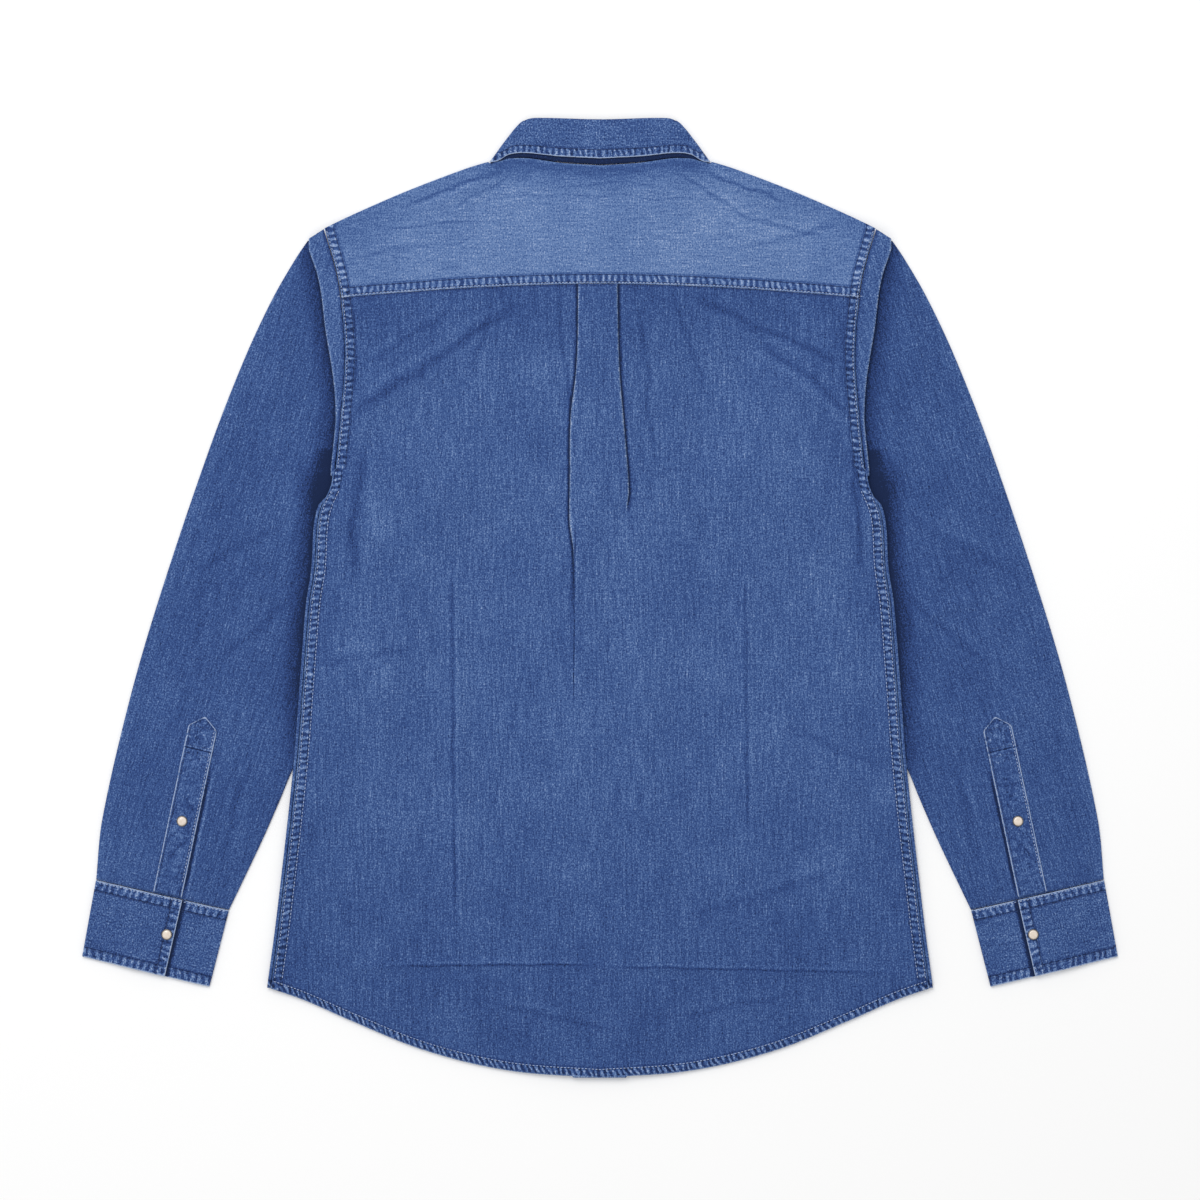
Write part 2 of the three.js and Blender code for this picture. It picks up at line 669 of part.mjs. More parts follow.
// A snap's cap: a low dome with a rounded rim
function snapCap(x, drop, base) {
  const radius = snapDiameter / 2;
  const profile = [
    new THREE.Vector2(0, 0),
    new THREE.Vector2(radius * 0.9, 0),
    new THREE.Vector2(radius, snapHeight * 0.35),
    new THREE.Vector2(radius * 0.72, snapHeight * 0.85),
    new THREE.Vector2(0, snapHeight),
  ];
  const cap = new THREE.LatheGeometry(profile, 12);
  cap.rotateX(Math.PI / 2);
  cap.translate(x, middleDrop - drop, base);
  return cap;
}

add('back_panel', backPanel(), finishes.denim);
add('yoke', yoke(), finishes.fadedDenim);
add('front_left', frontPanel(-1, placketWidth / 2 + 2, 1.3), finishes.denim);
add('front_right', frontPanel(1, -placketWidth / 2 + 2, 0), finishes.denim);
add('front_placket', frontPlacket(), finishes.denim);
add('collar_stand', collarStand(), finishes.denim);
add('collar_fall', collarFall(), finishes.denim);

for (const [label, side] of [['left', -1], ['right', 1]]) {
  add(`sleeve_${label}`, sleeve(side), finishes.denim);
  add(`cuff_${label}`, cuff(side), finishes.denim);
  add(`sleeve_placket_${label}`, sleevePlacketStrip(side), finishes.denim);
  const cuffX = side * cuffPoint(cuffSnap.along, cuffSnap.down, 'reach');
  const cuffDrop = cuffPoint(cuffSnap.along, cuffSnap.down, 'drop');
  const cuffTop = cuffTopHeight(cuffSnap.along) + cuffWall / 2;
  add(`snap_cuff_${label}`, snapCap(cuffX, cuffDrop, cuffTop + seamGap), finishes.pearl);
  const placketTop = placketMiddle + clothWall / 2;
  const placketCap = snapCap(side * placketSnap.reach, placketSnap.drop, placketTop + seamGap);
  add(`snap_placket_${label}`, placketCap, finishes.pearl);
}
for (let index = 0; index < snapCount; index += 1) {
  add(`snap_front_${index + 1}`, snapCap(0, firstSnapDrop + index * snapSpacing, 0), finishes.pearl);
}

export default shirt;
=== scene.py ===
# Blue denim shirt laid flat on its front, back uppermost.
# Sizes are millimetres: reach from the centre back, drop below the collar's top edge.
import math
import bmesh
import bpy
import numpy as np
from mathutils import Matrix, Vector


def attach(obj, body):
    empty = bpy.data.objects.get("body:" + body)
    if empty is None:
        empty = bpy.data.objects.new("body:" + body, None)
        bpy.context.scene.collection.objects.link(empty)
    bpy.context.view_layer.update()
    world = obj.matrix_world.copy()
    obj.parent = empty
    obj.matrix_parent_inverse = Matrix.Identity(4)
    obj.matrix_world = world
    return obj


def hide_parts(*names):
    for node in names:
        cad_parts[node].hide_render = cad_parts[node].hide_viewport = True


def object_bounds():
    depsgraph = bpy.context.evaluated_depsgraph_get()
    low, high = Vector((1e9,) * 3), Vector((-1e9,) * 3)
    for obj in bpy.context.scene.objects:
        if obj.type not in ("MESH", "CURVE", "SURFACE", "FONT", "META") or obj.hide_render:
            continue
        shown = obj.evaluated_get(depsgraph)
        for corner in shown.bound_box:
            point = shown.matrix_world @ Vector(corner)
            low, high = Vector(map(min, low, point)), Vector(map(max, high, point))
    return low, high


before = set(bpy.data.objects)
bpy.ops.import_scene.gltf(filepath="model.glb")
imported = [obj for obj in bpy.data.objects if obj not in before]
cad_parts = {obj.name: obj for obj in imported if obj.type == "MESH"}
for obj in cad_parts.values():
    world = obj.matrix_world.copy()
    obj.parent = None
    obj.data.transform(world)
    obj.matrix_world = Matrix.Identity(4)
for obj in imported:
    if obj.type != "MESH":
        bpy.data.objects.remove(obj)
cadBox = [tuple(corner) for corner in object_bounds()]
mm = 0.001
collarTop = 0.8
middleDrop = cadBox[1][1] / mm + collarTop  # drop of the frame's origin

cloth = {"wall": 1.0, "plyOffset": 0.75, "looseness": 0.25, "layerPitch": 2.8, "rampWidth": 80.0,
         "underarmDrop": 311.7, "foldClearance": 4.0, "collarLift": 1.3, "placketLift": 2.8}
floorMiddle = cloth["plyOffset"] + cloth["wall"] / 2
farOff = 60.0  # mm from a seam, past all of its marks

# Outline of the laid shirt, one row for each place where it changes direction
shoulderLine = [(93, 37.6), (115, 44.3), (161, 61.5), (201, 78.7), (236, 95.9), (250, 104.5)]  # reach, drop
backNeck = [(0, 41.4), (33, 39.2), (62, 35.2), (78, 35.4), (86, 37.4), (93, 37.6)]  # reach, drop
hemLine = [(0, 824.3), (80, 818.3), (151, 801.1), (215, 775.3), (254, 758.1), (285.5, 746.9)]  # reach, drop
armholeSeam = [(95.9, 236.5), (135.5, 225.3), (164.7, 221.0), (207, 218.4), (260.2, 222.3), (302.3, 226.5)]
sleeveCrease = [(104.5, 249.4), (147.5, 239.5), (181.9, 235.2), (229.2, 227.9), (268, 226.5), (309.2, 230.5)]
bodyEdge = [(300, 228.5), (310, 230.5), (341, 243.5), (388.3, 247.5), (417.5, 252.0), (470.9, 256.3),
            (560.3, 263.2), (689.3, 277.8), (746.9, 285.5)]  # drop, reach, as the next two
sleeveOuter = [(104.5, 249.8), (121.7, 261.4), (156.1, 281.2), (207.7, 305.3), (285.1, 335.4), (414.1, 378.8),
               (500.1, 403.8), (603.3, 427.4), (654.9, 432.6)]
sleeveInner = [(312, 146), (560.3, 264.9), (586.1, 275.6), (620.5, 290.7), (680.7, 319.4)]


# A smooth curve through a table's rows
def through(table, at):
    xs = np.array([row[0] for row in table], float)
    ys = np.array([row[1] for row in table], float)
    last = len(xs) - 1
    before = np.maximum(np.arange(last + 1) - 1, 0)
    after = np.minimum(np.arange(last + 1) + 1, last)
    slope = (ys[after] - ys[before]) / (xs[after] - xs[before])
    at = np.clip(np.asarray(at, float), xs[0], xs[-1])
    i = np.clip(np.searchsorted(xs, at, side="right") - 1, 0, last - 1)
    span = xs[i + 1] - xs[i]
    t = (at - xs[i]) / span
    startWeight = (1 + 2 * t) * (1 - t) ** 2
    bend = t * (1 - t) ** 2 * slope[i] - t * t * (1 - t) * slope[i + 1]
    return startWeight * ys[i] + (1 - startWeight) * ys[i + 1] + span * bend


def ease(low, high, value):
    t = np.clip((np.asarray(value, float) - low) / (high - low), 0, 1)
    return t * t * (3 - 2 * t)


def blend(a, b, t):
    return a + (b - a) * t


def hiddenEdge(drop):
    return np.where(drop < cloth["underarmDrop"], 312.1 - 0.532 * drop, through(sleeveInner, drop))


def yokeSeamDrop(reach):
    return 143.2 + 12 * (reach / 222) ** 2


def creaseReach(drop):
    return np.maximum(through(sleeveCrease, drop), through(armholeSeam, drop) + 4)


# Height of the middle of the two body plies over the sleeves, collar and placket beneath
def bodyMiddle(x, drop):
    reach = np.abs(x)
    edge = hiddenEdge(drop) - cloth["foldClearance"]
    t = np.clip((reach - edge + cloth["rampWidth"]) / cloth["rampWidth"], 0, 1)
    overSleeve = t * t * (3 - 2 * t)
    overFlap = 1 - ease(cloth["underarmDrop"] + 3, cloth["underarmDrop"] + 103, drop)
    overCollar = (1 - ease(160, 230, drop)) * (1 - ease(98, 160, reach))
    overPlacket = ease(20, 112, drop) * (1 - ease(18, 95, reach))
    return (floorMiddle + cloth["layerPitch"] * overSleeve * (1 + overFlap)
            + cloth["collarLift"] * overCollar + cloth["placketLift"] * overPlacket)


# Creases as listed: from and to points, half width, rise, and a bow to one side at mid length
def relief(creases, x, drop):
    height = np.zeros(np.broadcast(x, drop).shape)
    for crease in creases:
        (x0, d0), (x1, d1) = crease["start"], crease["end"]
        length = math.hypot(x1 - x0, d1 - d0)
        ux, ud = (x1 - x0) / length, (d1 - d0) / length
        along = (x - x0) * ux + (drop - d0) * ud
        t = np.clip(along / length, 0, 1)
        sideways = (x - x0) * ud - (drop - d0) * ux - crease.get("bow", 0) * 4 * t * (1 - t)
        beyond = np.maximum(np.abs(along / length - 0.5) - 0.5, 0) * length
        distance = np.hypot(sideways, beyond) / crease["width"]
        strength = (0.35 + 0.65 * np.sin(math.pi * np.clip(0.08 + 0.84 * t, 0, 1)))
        height = height + crease["rise"] * strength * np.exp(-2.2 * distance ** 2)
    return height


# Closed wall about a grid of middle points, with the cloth's own coordinates, seam distances, and its wear
# and painted shade on it
def clothShell(name, mid, uv, wall, ring=False, lengthSeam=None, crossSeam=None, wearAndShade=None):
    mid = np.asarray(mid, float)
    rows, columns = mid.shape[:2]
    down = np.gradient(mid, axis=0)
    across = (np.roll(mid, -1, 1) - np.roll(mid, 1, 1)) if ring else np.gradient(mid, axis=1)
    normal = np.cross(down, across)
    normal /= np.maximum(np.linalg.norm(normal, axis=2, keepdims=True), 1e-9)
    outside, inside = mid + normal * wall / 2, mid - normal * wall / 2
    points = np.concatenate([outside.reshape(-1, 3), inside.reshape(-1, 3)])
    index = np.arange(rows * columns).reshape(rows, columns)
    if ring:
        index = np.concatenate([index, index[:, :1]], axis=1)
    inner = index + rows * columns

    def strip(a, b, c, d):
        return np.stack([a.ravel(), b.ravel(), c.ravel(), d.ravel()], axis=1)
    quads = [strip(index[:-1, :-1], index[1:, :-1], index[1:, 1:], index[:-1, 1:]),
             strip(inner[:-1, :-1], inner[:-1, 1:], inner[1:, 1:], inner[1:, :-1]),
             strip(index[0, :-1], index[0, 1:], inner[0, 1:], inner[0, :-1]),
             strip(index[-1, :-1], inner[-1, :-1], inner[-1, 1:], index[-1, 1:])]
    if not ring:
        quads.append(strip(index[:-1, 0], inner[:-1, 0], inner[1:, 0], index[1:, 0]))
        quads.append(strip(index[:-1, -1], index[1:, -1], inner[1:, -1], inner[:-1, -1]))
    quads = np.concatenate(quads)
    corner = points[quads]
    volume = np.einsum("ij,ij->i", corner[:, 0], np.cross(corner[:, 1], corner[:, 2])).sum()
    volume += np.einsum("ij,ij->i", corner[:, 0], np.cross(corner[:, 2], corner[:, 3])).sum()
    if volume < 0:
        quads = quads[:, ::-1]
    points[:, 1] = middleDrop - points[:, 1]  # drop becomes +Y
    quads = quads[:, ::-1]
    mesh = bpy.data.meshes.new(name)
    mesh.vertices.add(len(points))
    mesh.vertices.foreach_set("co", (points * mm).ravel())
    mesh.loops.add(quads.size)
    mesh.loops.foreach_set("vertex_index", quads.ravel())
    mesh.polygons.add(len(quads))
    mesh.polygons.foreach_set("loop_start", np.arange(0, quads.size, 4))
    mesh.update(calc_edges=True)
    mesh.validate()
    flat = np.asarray(uv, float).reshape(-1, 2)
    flat = np.concatenate([flat, flat])
    layer = mesh.uv_layers.new(name="cloth")
    layer.data.foreach_set("uv", (flat[quads.ravel()]).ravel())
    far = np.full((rows, columns), farOff)
    for label, values in (("lengthSeam", lengthSeam), ("crossSeam", crossSeam), ("wearAndShade", wearAndShade)):
        values = (np.zeros((rows, columns)) if label == "wearAndShade" else far) if values is None else values
        values = np.broadcast_to(values, (rows, columns)).ravel()
        attribute = mesh.attributes.new(label, "FLOAT", "POINT")
        attribute.data.foreach_set("value", np.concatenate([values, values]))
    mesh.shade_smooth()
    piece = bpy.data.objects.new(name, mesh)
    bpy.context.scene.collection.objects.link(piece)
    return piece


def stack(x, drop, height):
    return np.stack(np.broadcast_arrays(x, drop, height), axis=-1)


# Area of cloth in a grid of middle points, in square metres
def cutArea(mid, ring=False):
    if ring:
        mid = np.concatenate([mid, mid[:, :1]], axis=1)
    a = mid[1:, 1:] - mid[:-1, :-1]
    b = mid[1:, :-1] - mid[:-1, 1:]
    return 0.5 * np.linalg.norm(np.cross(a, b), axis=2).sum() * mm * mm


def joinPieces(name, *parts):
    bpy.ops.object.select_all(action="DESELECT")
    for part in parts:
        part.select_set(True)
    bpy.context.view_layer.objects.active = parts[0]
    bpy.ops.object.join()
    parts[0].name = name
    parts[0].data.name = name
    return parts[0]


# Yoke: rolls over the shoulder fold, ends flat along the neck
yokeCut = {"columns": 190, "rows": 46, "outer": 236.2, "wrapTail": 8.0, "neckTail": 3.0}


def topDrop(reach):
    return np.where(reach < 93, through(backNeck, reach), through(shoulderLine, reach))


def narrowed(reach, drop):
    return reach - (236.5 - through(armholeSeam, drop)) * ease(93, 236, reach)


yokeCreases = [
    {"start": (-92, 44), "end": (-150, 78), "width": 7, "rise": 0.9, "bow": 3},
    {"start": (-84, 56), "end": (-120, 96), "width": 6, "rise": -0.7, "bow": -2},
    {"start": (88, 44), "end": (138, 66), "width": 7, "rise": 0.9, "bow": -3},
    {"start": (82, 58), "end": (116, 92), "width": 6, "rise": -0.7, "bow": 2},
    {"start": (-60, 60), "end": (52, 64), "width": 9, "rise": 0.6, "bow": 5},
    {"start": (-205, 98), "end": (-186, 136), "width": 7, "rise": 0.8, "bow": 2},
    {"start": (200, 98), "end": (184, 134), "width": 7, "rise": 0.7, "bow": -2},
]


def yokeTop(x, drop):
    soft = ease(0, 16, drop - topDrop(np.abs(x)))
    return bodyMiddle(x, drop) + cloth["plyOffset"] + relief(yokeCreases, x, drop) * soft


def makeYoke():
    u = np.linspace(-1, 1, yokeCut["columns"])
    reach = np.abs(u) * yokeCut["outer"]
    fold = ease(92.7, 95.4, reach)
    top = topDrop(reach)
    arc = math.pi * cloth["plyOffset"]
    angle = np.maximum(math.pi * fold, 1e-3)
    start = top + blend(arc + yokeCut["neckTail"], cloth["plyOffset"], fold)
    seam = yokeSeamDrop(narrowed(reach, 150))
    lines = []
    for share in np.linspace(0, 1, yokeCut["rows"]):
        drop = blend(seam, start, share)
        x = np.sign(u) * narrowed(reach, drop)
        lines.append(stack(x, drop, yokeTop(x, drop)))
    base = yokeTop(np.sign(u) * narrowed(reach, start), start)
    for share in (0.17, 0.33, 0.5, 0.67, 0.83, 1.0, 1.3, 1.7):
        turn = angle * min(share, 1)
        forward = arc / angle * np.sin(turn)
        up = arc / angle * (1 - np.cos(turn))
        tail = max(share - 1, 0) / 0.7 * blend(yokeCut["neckTail"], yokeCut["wrapTail"], fold)
        tail = tail * np.cos(angle) ** 2
        drop = start - forward - tail * np.cos(angle)
        x = np.sign(u) * narrowed(reach, drop)
        lines.append(stack(x, drop, base - up - tail * np.sin(angle)))
    mid = np.array(lines)
    x, drop = mid[..., 0], mid[..., 1]
    armSide = np.maximum(through(armholeSeam, drop) - np.abs(x), 0)
    seamSide = yokeSeamDrop(np.abs(x)) - drop
    edgeSide = np.abs(drop - topDrop(np.abs(x)))
    nearNeck = ease(104, 84, np.abs(x))
    # Painted shade under the collar along the neck; also darker along the shoulder folds and towards the
    # armholes, with a pale line on the neck edge, all weaker within the seam bands
    wearAndShade = 1 - (0.34 + 0.5 * nearNeck) * ease(34, 0, edgeSide)
    wearAndShade *= 0.74 + 0.26 * ease(4, 110, armSide)
    wearAndShade += nearNeck * (1.1 * ease(2.4, 0.6, edgeSide) - 0.5 * ease(16, 2, edgeSide))
    wearAndShade *= (0.3 + 0.7 * ease(7.4, 10, seamSide)) * (0.6 + 0.4 * ease(7.4, 10, armSide))
    piece = clothShell("yokeCloth", mid, stack(x, drop, 0)[..., :2], cloth["wall"],
                       lengthSeam=armSide, crossSeam=seamSide, wearAndShade=wearAndShade)
    return piece, cutArea(mid)


# Back panel: a raised box pleat at centre back that opens out by the waist
backCut = {"sideColumns": 84, "sidePower": 1.3, "pleatColumns": 30, "rows": 236, "hemRise": 0.5,
           "hemBand": 7.5, "sideRoll": 3.05, "pleatRise": 1.7, "pleatOverhang": 0.9, "pleatJoin": 1.2,
           "pleatShade": 1.7, "pleatShadeWidth": 3.8, "pleatGlint": 0.7, "pleatGlintWidth": 1.6}
backTone = {"belowYoke": -0.14, "shadowUnderYoke": -0.4, "tail": -0.16, "sides": -0.08}
pleatLeft = [(143, 16.8), (192, 17.2), (222, 18.9), (258, 23.2), (312, 23.9), (348, 24.1), (374, 21.1),
             (445, 24)]  # drop, half width, as the next one
pleatRight = [(143, 12.9), (192, 13.8), (222, 15.1), (258, 18.1), (312, 22.4), (348, 23.2), (445, 23.4)]
pleatEnd = {"left": (352, 446), "right": (318, 346)}
backCreases = [
    {"start": (-128, 400), "end": (-124, 716), "width": 9, "rise": 1.5, "bow": 4},
    {"start": (-112, 420), "end": (-110, 690), "width": 10, "rise": -0.8, "bow": 4},
    {"start": (124, 392), "end": (126, 560), "width": 9, "rise": 1.2, "bow": -3},
    {"start": (110, 410), "end": (114, 540), "width": 9, "rise": -0.7, "bow": -3},
    {"start": (-208, 264), "end": (-134, 214), "width": 16, "rise": 1.6, "bow": 8},
    {"start": (-214, 300), "end": (-150, 262), "width": 13, "rise": -0.8, "bow": 6},
    {"start": (208, 262), "end": (142, 222), "width": 15, "rise": 1.4, "bow": -8},
    {"start": (-212, 731), "end": (-20, 729), "width": 4.5, "rise": 1.3, "bow": 3},
    {"start": (-10, 729), "end": (124, 731), "width": 4.5, "rise": 1.2, "bow": -1},
    {"start": (118, 736), "end": (264, 738), "width": 4.5, "rise": 1.2, "bow": 3},
    {"start": (-60, 190), "end": (-74, 330), "width": 12, "rise": 0.8, "bow": 5},
    {"start": (62, 190), "end": (80, 340), "width": 13, "rise": 0.8, "bow": -5},
    {"start": (-26, 450), "end": (-22, 640), "width": 16, "rise": 0.9, "bow": 3},
    {"start": (44, 420), "end": (38, 600), "width": 18, "rise": 0.8, "bow": -5},
    {"start": (-190, 480), "end": (-204, 660), "width": 14, "rise": 0.8, "bow": 5},
    {"start": (196, 470), "end": (214, 650), "width": 14, "rise": 0.8, "bow": -6},
    {"start": (-238, 345), "end": (-170, 372), "width": 9, "rise": 0.9, "bow": 4},
    {"start": (238, 345), "end": (176, 380), "width": 9, "rise": 0.9, "bow": -4},
]


def backReach(drop):
    folded = through(bodyEdge, drop) - backCut["sideRoll"] * ease(302, 322, drop)
    return np.where(drop < 302, through(armholeSeam, drop), folded)


def backTop(x, drop):
    settled = ease(0, 14, backReach(drop) - np.abs(x))
    hem = ease(backCut["hemBand"] + 1.2, backCut["hemBand"] - 0.8, through(hemLine, np.abs(x)) - drop)
    height = bodyMiddle(x, drop) + cloth["plyOffset"] + cloth["looseness"] + backCut["hemRise"] * hem
    return height + relief(backCreases, x, drop) * (0.3 + 0.7 * settled)


def makeBack():
    share = np.linspace(0, 1, backCut["rows"])[:, None]
    side = np.linspace(1, 0, backCut["sideColumns"]) ** backCut["sidePower"]

    def pleatAt(drop, table, fade):
        return through(table, drop), backCut["pleatRise"] * (1 - ease(*fade, drop))
    centreDrop = blend(yokeSeamDrop(0) + 0.3, through(hemLine, 0), share)
    leftHalf, leftRise = pleatAt(centreDrop, pleatLeft, pleatEnd["left"])
    rightHalf, rightRise = pleatAt(centreDrop, pleatRight, pleatEnd["right"])

    def sidePanel(sign, half):
        guess = blend(half, 222, side)
        top = yokeSeamDrop(guess) + 0.3
        bottom = through(hemLine, blend(half, 282.4, side))
        drop = blend(top, bottom, share)
        return stack(sign * blend(half, backReach(drop), side), drop, 0)
    left = sidePanel(-1, leftHalf)
    right = sidePanel(1, rightHalf)[:, ::-1]
    left[..., 2] = backTop(left[..., 0], left[..., 1])
    right[..., 2] = backTop(right[..., 0], right[..., 1])
    over, join = backCut["pleatOverhang"], backCut["pleatJoin"]
    leftEdge = -leftHalf - over * leftRise + join * (1 - leftRise / backCut["pleatRise"])
    rightEdge = rightHalf + over * rightRise - join * (1 - rightRise / backCut["pleatRise"])
    x = blend(leftEdge, rightEdge, np.linspace(0, 1, backCut["pleatColumns"]))
    drop = np.broadcast_to(centreDrop, x.shape)
    rise = blend(leftRise, rightRise, ease(0.3, 0.7, np.linspace(0, 1, backCut["pleatColumns"])))
    middle = stack(x, drop, backTop(x, drop) + rise)
    mid = np.concatenate([left, middle, right], axis=1)
    x, drop = mid[..., 0], mid[..., 1]
    sideSeam = np.maximum(backReach(drop) - np.abs(x), 0)
    hemSide = through(hemLine, np.abs(x)) - drop
    yokeSide = drop - yokeSeamDrop(np.abs(x))
    # Painted shadow in a 3.5 mm line under the yoke's lapped edge; the back is also darker below the yoke,
    # towards the hem and near the side seams
    wearAndShade = backTone["belowYoke"] * ease(90, 0, yokeSide) + backTone["tail"] * ease(520, 800, drop)
    wearAndShade = wearAndShade + backTone["sides"] * ease(60, 10, sideSeam) + backTone["shadowUnderYoke"] * ease(3.5, 0, yokeSide)
    fold = np.concatenate([-leftHalf - over * leftRise - x[:, :backCut["sideColumns"]],
                           farOff + 0 * x[:, :backCut["pleatColumns"]],
                           x[:, -backCut["sideColumns"]:] - rightHalf - over * rightRise], axis=1)
    closed = np.where(x < 0, leftRise, rightRise) / backCut["pleatRise"]
    wearAndShade = wearAndShade - backCut["pleatShade"] * closed * ease(backCut["pleatShadeWidth"], 0, fold)
    onPleat = np.zeros(x.shape)
    onPleat[:, backCut["sideColumns"]:-backCut["sideColumns"]] = 1
    edge = np.minimum(np.abs(x - leftEdge), np.abs(x - rightEdge))
    wearAndShade = wearAndShade + backCut["pleatGlint"] * closed * onPleat * ease(backCut["pleatGlintWidth"], 0, edge)
    piece = clothShell("backCloth", mid, stack(x, drop, 0)[..., :2], cloth["wall"],
                       lengthSeam=sideSeam, crossSeam=hemSide, wearAndShade=wearAndShade)
    return piece, cutArea(mid)


# Fronts: under the back, turned up round its side edges
frontCut = {"columns": 60, "rows": 120, "turn": (316, 332), "tail": 1.4}


def frontTopDrop(reach):
    neck = 41 + 81 * np.sqrt(np.maximum(1 - (reach / 99) ** 3, 0))
    return np.maximum(neck, topDrop(np.maximum(reach, 93)) + 10)


def makeFront(name, sign, centreEdge, sink):
    u = np.linspace(0, 1, frontCut["columns"])[None, :]
    share = np.linspace(0, 1, frontCut["rows"])[:, None]
    upper = frontTopDrop(np.abs(blend(centreEdge, 238, u)))
    bottom = through(hemLine, np.abs(blend(centreEdge, 284, u)))
    drop = blend(upper, bottom, share)
    wrap = ease(*frontCut["turn"], drop)
    arc = math.pi * cloth["plyOffset"]
    flatEnd = through(armholeSeam, drop) - arc - frontCut["tail"]
    outer = blend(flatEnd, through(bodyEdge, drop) - cloth["plyOffset"], wrap)
    x = sign * blend(centreEdge, outer, u)

    def height(x, drop):
        lower = sink * (1 - ease(18, 95, np.abs(x))) * ease(20, 112, drop)
        return bodyMiddle(x, drop) - cloth["plyOffset"] - lower
    columns = [stack(x, drop, height(x, drop))]
    edgeX, edgeDrop, angle = x[:, -1], drop[:, -1], np.maximum(math.pi * wrap[:, -1], 1e-3)
    base = height(edgeX, edgeDrop)
    for turn in (0.2, 0.4, 0.6, 0.8, 1.0, 1.5, 2.0):
        bent = angle * min(turn, 1)
        tail = max(turn - 1, 0) * frontCut["tail"]
        forward = arc / angle * np.sin(bent) + tail * np.cos(angle)
        up = arc / angle * (1 - np.cos(bent)) + tail * np.sin(angle)
        columns.append(stack(edgeX + sign * forward, edgeDrop, base + up * 1.08)[:, None, :])
    mid = np.concatenate(columns, axis=1)
    hemSide = through(hemLine, np.abs(mid[..., 0])) - mid[..., 1]
    piece = clothShell(name, mid, mid[..., :2], cloth["wall"], crossSeam=hemSide)
    return piece, cutArea(mid)


frontPlacketCut = {"halfWidth": 16, "top": 118.5, "bottom": 823.4}


def makeFrontPlacket():
    height = bodyMiddle(0, 400) - cloth["plyOffset"] - cloth["wall"] - 0.3
    drop = np.linspace(frontPlacketCut["top"], frontPlacketCut["bottom"], 90)[:, None]
    x = np.linspace(-1, 1, 9)[None, :] * frontPlacketCut["halfWidth"]
    mid = stack(x, drop, float(height))
    seam = frontPlacketCut["halfWidth"] - np.abs(mid[..., 0])
    piece = clothShell("frontPlacketCloth", mid, mid[..., :2], cloth["wall"], lengthSeam=seam)
    return piece, cutArea(mid)


# Collar: stand and fall are flattened rings, open at the front and folded at each side of the neck
collarFoldLine = [(0.8, 61.5), (5.6, 68.8), (18.5, 79.6), (36.6, 92.9), (38.4, 94.4)]  # drop, reach
collarLowerEdge = [(0, 35.4), (35, 33.6), (70, 30.8), (93, 36.6)]  # reach, drop
neckHalfWidth = 92.8


def rollDip(reach):
    return collarTop + 1.2 * (1 - ease(0, 50, reach))


def frontNeckDrop(reach):
    return 37 + 81 * np.sqrt(np.maximum(1 - np.minimum(reach / neckHalfWidth, 1) ** 3, 0))


def collarRing(name, part, backDrop, frontEnd):
    radius = (part["backHeight"] - part["frontHeight"]) / 2
    share = np.linspace(0, 1, part["rows"])[:, None]
    foldDrop = blend(part["foldStart"], part["foldEnd"], share)
    arcReach = through(collarFoldLine, foldDrop) - part["foldInset"] - radius
    half = []
    for f in np.linspace(1, 0, 24):
        reach, drop = frontEnd(f, share, arcReach, foldDrop)
        half.append((reach, drop, part["frontHeight"] + 0 * share))
    for turn in np.linspace(0.1, 0.9, 9):
        height = part["frontHeight"] + radius * (1 - math.cos(math.pi * turn))
        half.append((arcReach + radius * math.sin(math.pi * turn), foldDrop, height + 0 * share))
    for u in np.linspace(1, 0, 48)[:-1]:
        reach = arcReach * u
        height = part["backHeight"] + part["crown"] * np.sin(math.pi * share) * math.sqrt(1 - u ** 6)
        half.append((reach, backDrop(reach, share, arcReach, foldDrop), height))
    centre = stack(0 * share, backDrop(0 * share, share, arcReach, foldDrop),
                   part["backHeight"] + part["crown"] * np.sin(math.pi * share))
    left = [stack(-reach, drop, height) for reach, drop, height in half]
    right = [stack(reach, drop, height) for reach, drop, height in reversed(half)]
    mid = np.concatenate(left + [centre] + right, axis=1)
    cross = (1 - share) * part["leaf"] + 0 * mid[..., 0]
    wearAndShade = part["wearAndShade"] + 0 * mid[..., 0]
    piece = clothShell(name, mid, mid[..., :2], part["wall"], crossSeam=cross, wearAndShade=wearAndShade)
    return piece, cutArea(mid)


# The stand's colour is darkened as painted shade where it lies under the fall
standCut = {"foldInset": 2.4, "backHeight": 3.3, "frontHeight": 1.8, "crown": 0.0, "rows": 16,
            "wall": 1.0, "leaf": 38.0, "wearAndShade": -0.8, "foldStart": 4.4, "foldEnd": 36.6}
fallCut = {"foldInset": 0.0, "backHeight": 4.8, "frontHeight": 0.6, "crown": 1.1, "rows": 30,
           "wall": 1.2, "leaf": 34.0, "wearAndShade": -0.03, "foldStart": 3.4, "foldEnd": 38.4}


def makeStand():
    def backDrop(reach, share, arcReach, foldDrop):
        middle = blend(rollDip(reach) + 1, through(backNeck, reach) - 0.9, share)
        return blend(middle, foldDrop, ease(0.75, 1, reach / arcReach))

    def frontEnd(f, share, arcReach, foldDrop):
        reach = blend(arcReach, 3, f)
        lower = np.maximum(frontNeckDrop(reach / arcReach * neckHalfWidth), foldDrop)
        return reach, blend(blend(foldDrop, 86, f), lower, share)
    return collarRing("collarStandCloth", standCut, backDrop, frontEnd)


def makeFall():
    def backDrop(reach, share, arcReach, foldDrop):
        middle = blend(rollDip(reach), through(collarLowerEdge, reach), share)
        near = np.clip((reach / arcReach - 0.86) / 0.14, 0, 1)
        rounded = 1 - np.sqrt(1 - near ** 2)  # at the fold
        corner = blend(rounded, ease(0.85, 1, reach / arcReach), share)
        return blend(middle, foldDrop, corner)

    def frontEnd(f, share, arcReach, foldDrop):
        return blend(arcReach, blend(4, 70, share), f), blend(foldDrop, blend(84, 150, share), f)
    return collarRing("collarFallCloth", fallCut, backDrop, frontEnd)


